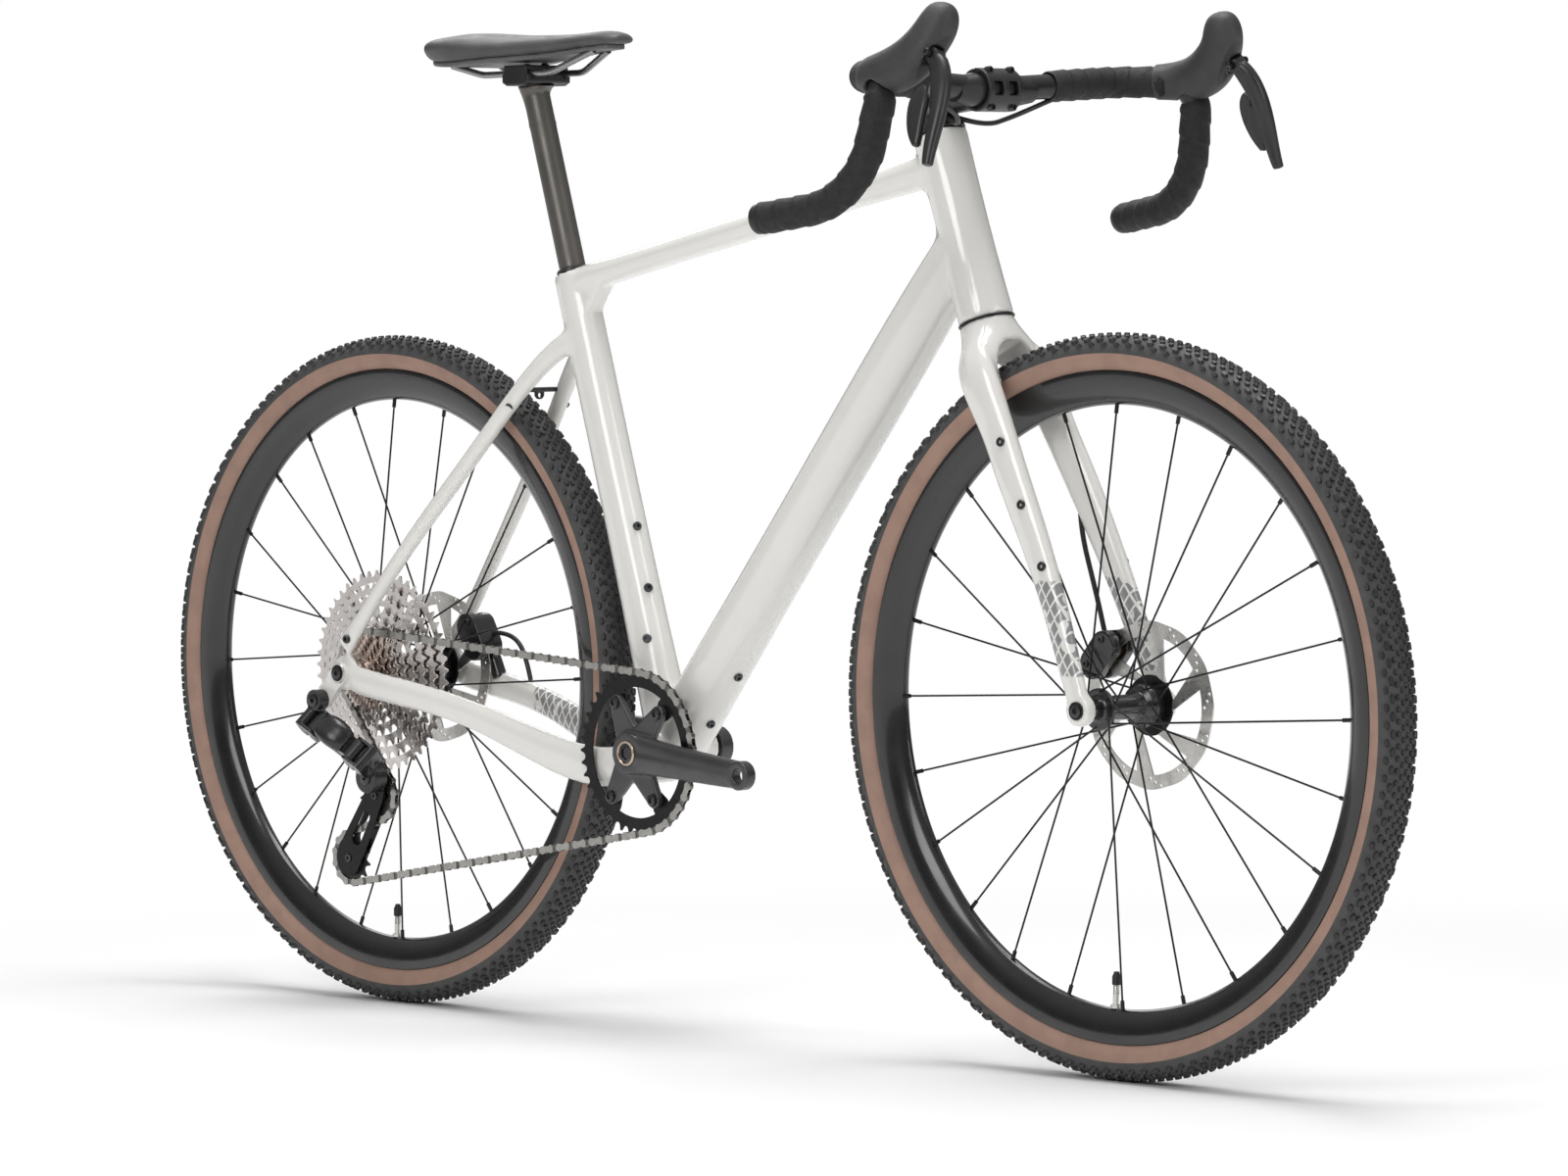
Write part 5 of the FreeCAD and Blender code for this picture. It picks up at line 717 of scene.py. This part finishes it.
class GRAVEL_OT_wheels(bpy.types.Operator):
    """Tyres with their knobs, rims, valves, spokes, hubs and discs"""
    bl_idname = "gravel.wheels"
    bl_label = "Wheels"

    STEPS = 288
    TAN_BAND = (0.3172, 0.3338)
    TYRE_SIDE = ((0.3170, 0.0128), (0.3192, 0.0162), (0.3236, 0.0192), (0.3300, 0.0208), (0.3362, 0.0205),
                 (0.3412, 0.0184), (0.3452, 0.0150), (0.3482, 0.0104))
    TYRE_INSIDE = [(0.3168, -0.0105), (0.330, -0.018), (0.345, -0.010), (0.3475, 0.0), (0.345, 0.010),
                   (0.330, 0.018), (0.3168, 0.0105)]
    # Along the axle, length, width, height and pitch as shares of the settings, shift, corners
    KNOB_ROWS = ((0.0, 0.0058, 0.0042, 1.0, 1.0, 0.0, 6), (0.0052, 0.0054, 0.0040, 1.0, 1.0, 0.5, 6),
                 (0.0102, 0.0056, 0.0042, 1.0, 1.0, 0.0, 6), (0.0146, 0.0082, 0.0044, 1.3, 1.45, 0.25, 8),
                 (0.0183, 0.0070, 0.0044, 1.2, 1.45, 0.75, 8))
    KNOB_ROOT = -0.0008
    CROWN_FROM = 0.33
    FAR_SIDE_SHIFT = 0.12
    RIM_SIDE = ((0.3168, 0.0145), (0.3125, 0.0146), (0.3045, 0.0140), (0.2965, 0.0117), (0.2897, 0.0078),
                (0.2857, 0.0038), (0.2845, 0.0))
    RIM_WELL = [(0.3168, -0.0123), (0.3097, -0.0123), (0.3080, -0.006), (0.3080, 0.006), (0.3097, 0.0123),
                (0.3168, 0.0123)]
    VALVE_SEAT = 0.2847
    VALVE_TURN = 2.2
    ROTOR_CARRIER = 0.0305

    def execute(self, context):
        tyre = self.tyre_mesh()
        rim = smooth_mesh(spun(both_halves(rounded_half(self.RIM_SIDE)) + self.RIM_WELL, self.STEPS), 40)
        valve = self.valve_mesh()
        for end, axle in (("front", FRONT_AXLE), ("rear", REAR_AXLE)):
            body = end + "_wheel"
            piece(end + "_tyre_knobbly", tyre.copy(), body, "tyre_rubber", None, end + "_tyre", place=axle)
            piece(end + "_rim_deep", rim.copy(), body, "composite_black", "rim_composite", end + "_rim",
                  place=axle)
            piece(end + "_valve_stem", valve.copy(), body, "steel", None, place=axle)
            dress(end + "_spokes", "spoke_steel", 40)
            dress_split(end + "_rotor", ("anodised", "bright_steel"),
                        lambda middle: int(off_axle(middle, axle) >= self.ROTOR_CARRIER), 30)
            soft_piece(end + "_hub_shell", end + "_hub", body, "black_satin", "gloss_black", 0.0007, 3)
        return {"FINISHED"}

    def tyre_mesh(self):
        """Casing with tan walls, and rows of knobs round its crown."""
        own = settings()
        base = own.tyre_radius - own.knob_height
        half = rounded_half(self.TYRE_SIDE + ((base - 0.0003, 0.0052), (base, 0.0)))
        outer = both_halves(half)
        casing = spun(outer + self.TYRE_INSIDE, self.STEPS)
        low, high = self.TAN_BAND
        tan = [int(low < (a[0] + b[0]) / 2 < high) for a, b in zip(outer, outer[1:])]
        plain = [0] * (len(self.TYRE_INSIDE) + 1)
        coated(casing, ("casing_rubber", "tan_wall"), (tan + plain) * self.STEPS)
        points = []
        faces = []
        for y, length, width, height, spacing, phase, sides in self.KNOB_ROWS:
            radius, normal = self.crown(half, y)
            count = int(2 * math.pi * base / (own.knob_pitch * spacing))
            top = own.knob_height * height
            quads = grid_faces(3, sides, False, True) + [tuple(range(2 * sides, 3 * sides))]
            for side in ((1,) if y == 0.0 else (1, -1)):
                for i in range(count):
                    angle = 2 * math.pi * (i + phase + (self.FAR_SIDE_SHIFT if side < 0 else 0.0)) / count
                    start = len(points)
                    for lift, scale in ((self.KNOB_ROOT, 1.12), (top * 0.82, 0.96), (top, 0.80)):
                        for k in range(sides):
                            turn = 2 * math.pi * (k + 0.5) / sides
                            a = angle + length * 0.5 * scale * math.cos(turn) / radius
                            w = width * 0.5 * scale * math.sin(turn)
                            r = radius + normal.x * lift - normal.y * w
                            points.append((r * math.cos(a), side * (y + normal.y * lift + normal.x * w),
                                           r * math.sin(a)))
                    for quad in quads:
                        face = tuple(start + k for k in quad)
                        faces.append(face if side < 0 else face[::-1])
        knobs = new_mesh("knobs", points, faces)
        knobs.materials.append(FINISHES["tread_rubber"])
        return smooth_mesh(joined([casing, knobs], "tyre"), 40)

    def crown(self, half, y):
        """Radius of the casing at a place along the axle, and the outward direction there."""
        for (r0, y0), (r1, y1) in zip(half, half[1:]):
            if y1 <= y <= y0 and r1 > self.CROWN_FROM:
                t = (y - y0) / (y1 - y0) if y1 != y0 else 0.0
                return r0 + (r1 - r0) * t, Vector((y0 - y1, r1 - r0)).normalized()
        raise RuntimeError("no casing %g m from mid-plane" % y)

    def valve_mesh(self):
        """Valve stem with its collar, thread and cap, inward from the rim's inner edge."""
        stem = spun([(0.0, 0.0), (0.0052, 0.0), (0.0052, 0.0032), (0.0031, 0.0036), (0.0031, 0.014)],
                    20, False)
        thread = spun([(0.0031 if k % 2 else 0.0028, 0.014 + 0.0006 * k) for k in range(14)], 20, False)
        cap = spun([(0.0028, 0.0222), (0.0042, 0.0222), (0.0042, 0.030), (0.0030, 0.0325), (0.0026, 0.0345),
                    (0.0, 0.035)], 16, False)
        for mesh, material in ((stem, "bright_steel"), (thread, "bright_steel"), (cap, "moulded_plastic")):
            mesh.materials.append(FINISHES[material])
        whole = joined([stem, thread, cap], "valve")
        whole.transform(Matrix.Rotation(math.radians(self.VALVE_TURN), 4, "Y")
                        @ Matrix.Translation((0.0, 0.0, -self.VALVE_SEAT))
                        @ Matrix.Rotation(math.radians(90), 4, "X"))
        return smooth_mesh(whole, 35)


class GRAVEL_OT_cockpit(bpy.types.Operator):
    """Stem, bar, tape, hoods and levers"""
    bl_idname = "gravel.cockpit"
    bl_label = "Bar and levers"

    BENDS = ((0.0, 0.178, 0.010), (0.070, 0.214, 0.008), (0.048, 0.229, -0.107), (-0.063, 0.250, -0.122))
    RADII = (0.042, 0.026, 0.080)
    HOOD_MOUTH = Vector((0.8, 0.0, -0.6))
    MOUTH_DEPTH = 0.004
    CAP_RAY = 0.05
    CAP_SINK = 0.0006
    FACEPLATE_AHEAD = 0.0085
    FACEPLATE_RISE = 0.0178
    FACEPLATE_ACROSS = 0.0145
    CLAMP_HEIGHTS = (0.214, 0.238)
    CLAMP_BEHIND = 0.0168
    CLAMP_SIDE = 0.0075
    STEERER_TOP = 0.2472
    CAP_RECESS = 0.0044
    LINE_SPACING = 0.0016
    TAPE_START = 0.076
    TOPS_REACH = 0.045
    TOPS_LOWEST = 0.92
    DROPS_BELOW = 0.008
    TAPE_RADIUS = 0.0146
    TAPE_TAPER = 0.0018
    OVERLAP = 0.86

    def execute(self, context):
        for node, voxel, rounds in (("stem", 0.0011, 8), ("stem_faceplate", 0.0008, 6),
                                    ("headset_cover", 0.0009, 5)):
            soft_piece(node + "_body", node, "steering_body", "black_satin", "satin_black", voxel, rounds)
        dress("handlebar", "satin_black")
        self.hood("left", Vector)
        self.hood("right", mirrored_place)
        self.stem_bolts()
        for side in ("left", "right"):
            soft_piece(side + "_lever_blade", side + "_brake_lever", side + "_lever_body", "lever_grey",
                       "lever_coat", 0.0008, 8)
            soft_piece(side + "_paddle_blade", side + "_shift_paddle", side + "_paddle_body", "lever_grey",
                       "lever_coat", 0.0005, 6)
        self.tape()
        return {"FINISHED"}

    def hood(self, side, placed):
        """Rubber hood with the harder bracket showing at its mouth, and the caps of the lever's pivot."""
        mesh = softened(side + "_hood", 0.0013, 9)
        pivot = placed(LEVER_PIVOT)
        marks = [int((Vector(face.center) - pivot).dot(self.HOOD_MOUTH) > -self.MOUTH_DEPTH)
                 for face in mesh.polygons]
        coated(mesh, ("hood_rubber", "moulded_plastic"), marks)
        body = piece(side + "_hood_body", mesh, "steering_body", "hood_rubber", None, side + "_hood")
        bpy.context.view_layer.update()
        across = placed(FLARE_SIDE)
        for number, way in enumerate((across, -across), 1):
            seated_bolt("%s_pivot_cap_%d" % (side, number), "steering_body", body, pivot + way * self.CAP_RAY,
                        -way, self.CAP_SINK, (0.0034, 0.0014, 0.0012))

    def stem_bolts(self):
        """Four faceplate bolts, the two clamp bolts at the steerer and the cap on top."""
        front = BAR_CENTRE + STEM_RUN * self.FACEPLATE_AHEAD
        corners = [(rise, across) for rise in (self.FACEPLATE_RISE, -self.FACEPLATE_RISE)
                   for across in (self.FACEPLATE_ACROSS, -self.FACEPLATE_ACROSS)]
        for number, (rise, across) in enumerate(corners, 1):
            bolt("faceplate_bolt_%d" % number, "steering_body", front + STEM_UP * rise + Y_AXIS * across,
                 STEM_RUN, (0.0038, 0.0062, 0.0018))
        for number, height in enumerate(self.CLAMP_HEIGHTS, 1):
            place = HEAD_FOOT + HEAD_UP * height - HEAD_AHEAD * self.CLAMP_BEHIND - Y_AXIS * self.CLAMP_SIDE
            bolt("clamp_bolt_%d" % number, "steering_body", place, -Y_AXIS, (0.0036, 0.0040, 0.0018))
        cap = spun([(0.0, 0.0), (0.0150, 0.0), (0.0172, 0.0010), (0.0176, 0.0030), (0.0160, 0.0048),
                    (0.0070, 0.0056), (0.0058, 0.0050), (0.0, 0.0050)], 48, False)
        top = HEAD_FOOT + HEAD_UP * self.STEERER_TOP
        piece("steerer_cap", stood(cap, Y_AXIS, HEAD_UP, top), "steering_body", "anodised_black",
              "gloss_black")
        bolt("steerer_cap_bolt", "steering_body", top + HEAD_UP * self.CAP_RECESS, HEAD_UP,
             (0.0044, 0.0022, 0.002))

    def bar_line(self, spacing):
        """Centre line of the left half of the bar: straight runs and bends, evenly sampled."""
        corners = [BAR_CENTRE.copy()] + [BAR_CENTRE + Vector(bend) for bend in self.BENDS]
        points = []

        def run(first, second):
            steps = max(1, int((second - first).length / spacing))
            points.extend(first.lerp(second, i / steps) for i in range(steps))
        last = corners[0]
        for before, corner, after, radius in zip(corners, corners[1:], corners[2:], self.RADII):
            back = (before - corner).normalized()
            ahead = (after - corner).normalized()
            half = back.angle(ahead) / 2
            reach = radius / math.tan(half)
            centre = corner + (back + ahead).normalized() * (radius / math.sin(half))
            start, end = corner + back * reach, corner + ahead * reach
            run(last, start)
            arm = start - centre
            swing = arm.angle(end - centre)
            steps = max(2, int(arm.length * swing / spacing))
            axis = arm.cross(end - centre).normalized()
            points.extend(centre + Matrix.Rotation(swing * i / steps, 3, axis) @ arm for i in range(steps))
            last = end
        run(last, corners[-1])
        return points + [corners[-1]]

    def tape(self):
        """Wrapped tape on tops and drops of both sides, with plugs at the ends."""
        own = settings()
        line = self.bar_line(self.LINE_SPACING)
        tops = [p for p in line if p.y >= self.TAPE_START and p.x < BAR_CENTRE.x + self.TOPS_REACH
                and p.z > self.TOPS_LOWEST]
        drops = [p for p in line if p.z < BAR_CENTRE.z - self.DROPS_BELOW]
        left = joined([self.wrapped(run, own.wrap_pitch, own.wrap_step) for run in (tops, drops)],
                      "left_tape")
        whole = joined([left, self.mirrored_mesh(left)], "tape")
        whole.materials.append(FINISHES["bar_tape"])
        plug = spun([(0.0, 0.0045), (0.006, 0.0044), (0.0125, 0.0034), (0.0142, 0.0012), (0.0142, -0.004)],
                    40, False)
        stood(plug, Y_AXIS, drops[-1] - drops[-4], drops[-1])
        plug.materials.append(FINISHES["moulded_plastic"])
        tape = piece("bar_tape_wraps", joined([whole, plug, self.mirrored_mesh(plug)], "tape"),
                     "steering_body", "tape", None, "bar_tape")
        smooth_mesh(tape.data, 50)

    def mirrored_mesh(self, mesh):
        other = mesh.copy()
        other.transform(Matrix.Scale(-1, 4, Y_AXIS))
        other.flip_normals()
        return other

    def wrapped(self, run, pitch, step):
        """Tube round a run of points whose radius steps up at each turn of the tape."""
        around = 36
        points = []
        travelled = 0.0
        across = (run[1] - run[0]).cross(Z_AXIS)
        for i, point in enumerate(run):
            heading = (run[min(i + 1, len(run) - 1)] - run[max(i - 1, 0)]).normalized()
            across = (across - heading * across.dot(heading)).normalized()
            up = heading.cross(across)
            if i:
                travelled += (point - run[i - 1]).length
            closing = min(1.0, i / 3.0, (len(run) - 1 - i) / 3.0)
            for k in range(around):
                angle = 2 * math.pi * k / around
                turn = (travelled / pitch + k / around) % 1.0
                ridge = step * (turn / self.OVERLAP if turn < self.OVERLAP
                                else (1.0 - turn) / (1.0 - self.OVERLAP))
                r = self.TAPE_RADIUS - self.TAPE_TAPER * (1.0 - closing) + ridge
                points.append(point + across * (r * math.cos(angle)) + up * (r * math.sin(angle)))
        return smooth_mesh(new_mesh("wrap", points, grid_faces(len(run), around, False, True)))


class GRAVEL_OT_saddle(bpy.types.Operator):
    """Saddle, its rails and clamp, and the post"""
    bl_idname = "gravel.saddle"
    bl_label = "Saddle and post"

    CLAMP_BOLTS = ((-0.2761, 0.0, 0.9740), (-0.3081, 0.0, 0.9740))

    def execute(self, context):
        pad = soft_piece("saddle_cushion", "saddle_pad", "post_body", "saddle_cover", "saddle_cover",
                         0.0024, 12, 0.0006)
        soft_piece("saddle_base_shell", "saddle_shell", "post_body", "saddle_base", "saddle_base", 0.0016, 6)
        soft_piece("saddle_clamp_set", "saddle_clamp", "post_body", "anodised_black", "satin_black",
                   0.0009, 5)
        dress("saddle_rails", "rail_steel")
        for number, place in enumerate(self.CLAMP_BOLTS, 1):
            bolt("saddle_clamp_bolt_%d" % number, "post_body", place, Z_AXIS, (0.0042, 0.0040, 0.002))
        soft_piece("seatpost_tube", "seatpost", "post_body", "post_grey", "post_composite", 0.0013, 5, 0.0001)
        return {"FINISHED"}


class GRAVEL_OT_drive(bpy.types.Operator):
    """Cranks, chainring, chain, cassette and derailleur"""
    bl_idname = "gravel.drive"
    bl_label = "Drive"

    PIVOT_ROOM = 0.0002
    COG_PLANE = -0.0470
    RING_PLANE = -0.0497
    OUTER_PLATE = 0.0021
    SMALL_COGS = -0.0450
    RING_BOLTS = ((-0.0611, 0.3254), (-0.1219, 0.3348), (-0.1299, 0.2398), (-0.0684, 0.2390))
    RING_BOLT_PLANE = -0.0590

    def execute(self, context):
        for node in ("right_crank", "left_crank"):
            soft_piece(node + "_form", node, "crankset", "crank_grey", "crank_finish", 0.0011, 8)
        for node, body in (("b_knuckle", "frame_body"), ("outer_link", "outer_link_body"),
                           ("inner_link", "inner_link_body"), ("p_knuckle", "p_knuckle_body")):
            soft_piece(node + "_form", node, body, "composite_black", "link_composite",
                       0.0006, 5, -self.PIVOT_ROOM)
        for node, material in (("crank_spindle", "bright_steel"), ("chainring", "anodised"),
                               ("chainring_bolts", "bolt_steel"), ("freehub", "anodised"),
                               ("cage", "anodised"), ("guide_pulley", "moulded_plastic"),
                               ("tension_pulley", "moulded_plastic")):
            dress(node, material, 28)
        # The chain's inner plates and the gaps between its outer plates get a darker steel: painted shade
        dress_split("chain", ("chain_steel", "between_plates_painted_shade"), self.link_kind, 28)
        dress_split("cassette", ("cassette_steel", "small_cog_steel"),
                    lambda middle: int(middle.y < self.SMALL_COGS), 28)
        self.fittings()
        return {"FINISHED"}

    def link_kind(self, middle):
        """0 on the chain's outer plates, 1 between them, where a darker steel is painted shade; the chain
        line runs from cog to ring.
        """
        share = (middle.x - REAR_AXLE.x) / (BOTTOM_BRACKET.x - REAR_AXLE.x)
        line = self.COG_PLANE + (self.RING_PLANE - self.COG_PLANE) * min(1.0, max(0.0, share))
        return 0 if abs(middle.y - line) > self.OUTER_PLATE else 1

    def fittings(self):
        """Bolts of the derailleur, its pulleys and the cranks."""
        for name, body, place, sizes in (
                ("hanger_bolt", "frame_body", REAR_AXLE + Vector((-0.026, -0.0988, -0.029)),
                 (0.0066, 0.0018, 0.0030)),
                ("cage_axle_bolt", "p_knuckle_body", REAR_AXLE + Vector((0.0227, -0.0699, -0.110)),
                 (0.0074, 0.0018, 0.0030)),
                ("guide_pulley_bolt", "cage_body", (-0.502, -0.0526, 0.222), (0.0046, 0.0018, 0.0018)),
                ("tension_pulley_bolt", "cage_body", (-0.5458, -0.0526, 0.1539), (0.0046, 0.0018, 0.0018)),
                ("right_spindle_cap", "crankset", BOTTOM_BRACKET - Y_AXIS * 0.0640,
                 (0.0104, 0.0016, 0.0072))):
            bolt(name, body, place, -Y_AXIS, sizes)
        ring_piece("spindle_ring", "crankset", "steel", "bronze_ring",
                   [(0.0098, 0.0), (0.0126, 0.0), (0.0126, 0.0012), (0.0118, 0.0020), (0.0104, 0.0020),
                    (0.0098, 0.0012)], BOTTOM_BRACKET - Y_AXIS * 0.0648, -Y_AXIS)
        for number, (x, z) in enumerate(self.RING_BOLTS, 1):
            bolt("ring_bolt_head_%d" % number, "crankset", (x, self.RING_BOLT_PLANE, z), -Y_AXIS,
                 (0.0056, 0.0018, 0.0032), "steel")
        bolt("left_spindle_cap", "crankset", BOTTOM_BRACKET + Y_AXIS * 0.0648, Y_AXIS,
             (0.0122, 0.0018, 0.0048))


class GRAVEL_OT_brakes(bpy.types.Operator):
    """Calipers, pads and the brake hoses"""
    bl_idname = "gravel.brakes"
    bl_label = "Brakes"

    BOLT_OUT = 0.005
    BOLT_SHIFT = 0.0155
    BOLT_RAY = 0.12
    BOLT_SINK = 0.0006
    HOSE_RADIUS = 0.0025
    FRONT_ROUTE = ((0.4595, 0.044, 0.4083), (0.4545, 0.043, 0.4303), (0.4465, 0.042, 0.4603),
                   (0.4280, 0.042, 0.5168), (0.4262, 0.044, 0.5415))
    REAR_ROUTE = ((-0.4431, 0.064, 0.3898), (-0.4241, 0.064, 0.3908), (-0.4021, 0.065, 0.3818),
                  (-0.3891, 0.064, 0.3598), (-0.3831, 0.063, 0.3418))
    BAR_ROUTE = ((0.3570, 0.085, 0.9284), (0.3558, 0.068, 0.9228), (0.3540, 0.056, 0.9184),
                 (0.3470, 0.036, 0.9104), (0.3300, 0.019, 0.9024), (0.3055, 0.008, 0.9105))

    def execute(self, context):
        for node, body, axle, spot in (("front_caliper", "steering_body", FRONT_AXLE, FRONT_CALIPER),
                                       ("rear_caliper", "frame_body", REAR_AXLE, REAR_CALIPER)):
            cast = soft_piece(node + "_cast", node, body, "black_satin", "gloss_black", 0.0009, 6)
            context.view_layer.update()
            self.caliper_bolts(cast, node, body, (spot - axle).normalized(), spot)
        for node in ("front_pad_outer", "front_pad_inner", "rear_pad_outer", "rear_pad_inner"):
            dress(node, "friction_compound")
        self.hose("front_hose", "steering_body", self.FRONT_ROUTE, "front_brake_hose")
        self.hose("rear_hose", "frame_body", self.REAR_ROUTE, "rear_brake_hose")
        self.hose("left_bar_hose", "steering_body", self.BAR_ROUTE, "brake_hoses")
        self.hose("right_bar_hose", "steering_body", [mirrored_place(p) for p in self.BAR_ROUTE],
                  "brake_hoses")
        return {"FINISHED"}

    def caliper_bolts(self, cast, node, body, radial, spot):
        """Two bolts through a caliper's halves, seated on both of its flanks."""
        across = radial.cross(Y_AXIS)
        corners = [(way, shift) for way in (1, -1) for shift in (self.BOLT_SHIFT, -self.BOLT_SHIFT)]
        for number, (way, shift) in enumerate(corners, 1):
            start = spot + radial * self.BOLT_OUT + across * shift + Y_AXIS * (way * self.BOLT_RAY)
            seated_bolt("%s_bolt_%d" % (node, number), body, cast, start, -Y_AXIS * way, self.BOLT_SINK,
                        (0.0036, 0.0026, 0.0016))

    def hose(self, name, body, route, node):
        """Brake hose on its route from one fitting to the next."""
        curve = bpy.data.curves.new(name, "CURVE")
        curve.dimensions = "3D"
        curve.bevel_depth = self.HOSE_RADIUS
        curve.bevel_resolution = 6
        curve.use_fill_caps = True
        spline = curve.splines.new("NURBS")
        spline.points.add(len(route) - 1)
        for point, place in zip(spline.points, route):
            point.co = tuple(place) + (1.0,)
        spline.order_u = 3
        spline.use_endpoint_u = True
        spline.resolution_u = 24
        curve.materials.append(FINISHES["hose_sleeve"])
        obj = link_object(name, curve)
        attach(obj, body)
        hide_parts(node)

    def route_length(self, route):
        """Length of the smooth curve that touches the middle of each run of the route."""
        corners = [Vector(p) for p in route]
        joints = [corners[0]] + [(a + b) / 2 for a, b in zip(corners[1:-2], corners[2:-1])] + [corners[-1]]
        total = 0.0
        for start, corner, end in zip(joints, corners[1:-1], joints[1:]):
            line = [start.lerp(corner, i / 20).lerp(corner.lerp(end, i / 20), i / 20) for i in range(21)]
            total += sum((b - a).length for a, b in zip(line, line[1:]))
        return total


class GRAVEL_PT_panel(bpy.types.Panel):
    bl_idname = "GRAVEL_PT_panel"
    bl_label = "Gravel Bike"
    bl_space_type = "VIEW_3D"
    bl_region_type = "UI"
    bl_category = "Gravel Bike"

    def draw(self, context):
        own = context.scene.gravel_bike
        for name in own.__annotations__:
            self.layout.prop(own, name)
        for operator in OPERATORS:
            self.layout.operator(operator.bl_idname)


OPERATORS = (GRAVEL_OT_stage, GRAVEL_OT_frame, GRAVEL_OT_wheels, GRAVEL_OT_cockpit, GRAVEL_OT_saddle,
             GRAVEL_OT_drive, GRAVEL_OT_brakes)
CLASSES = (GravelBikeSettings,) + OPERATORS + (GRAVEL_PT_panel,)


def register():
    for cls in CLASSES:
        bpy.utils.register_class(cls)
    bpy.types.Scene.gravel_bike = bpy.props.PointerProperty(type=GravelBikeSettings)


def unregister():
    del bpy.types.Scene.gravel_bike
    for cls in reversed(CLASSES):
        bpy.utils.unregister_class(cls)


def main():
    register()
    make_finishes()
    bpy.ops.gravel.stage()
    bpy.ops.gravel.frame()
    bpy.ops.gravel.wheels()
    bpy.ops.gravel.cockpit()
    bpy.ops.gravel.saddle()
    bpy.ops.gravel.drive()
    bpy.ops.gravel.brakes()


if __name__ == "__main__":
    main()
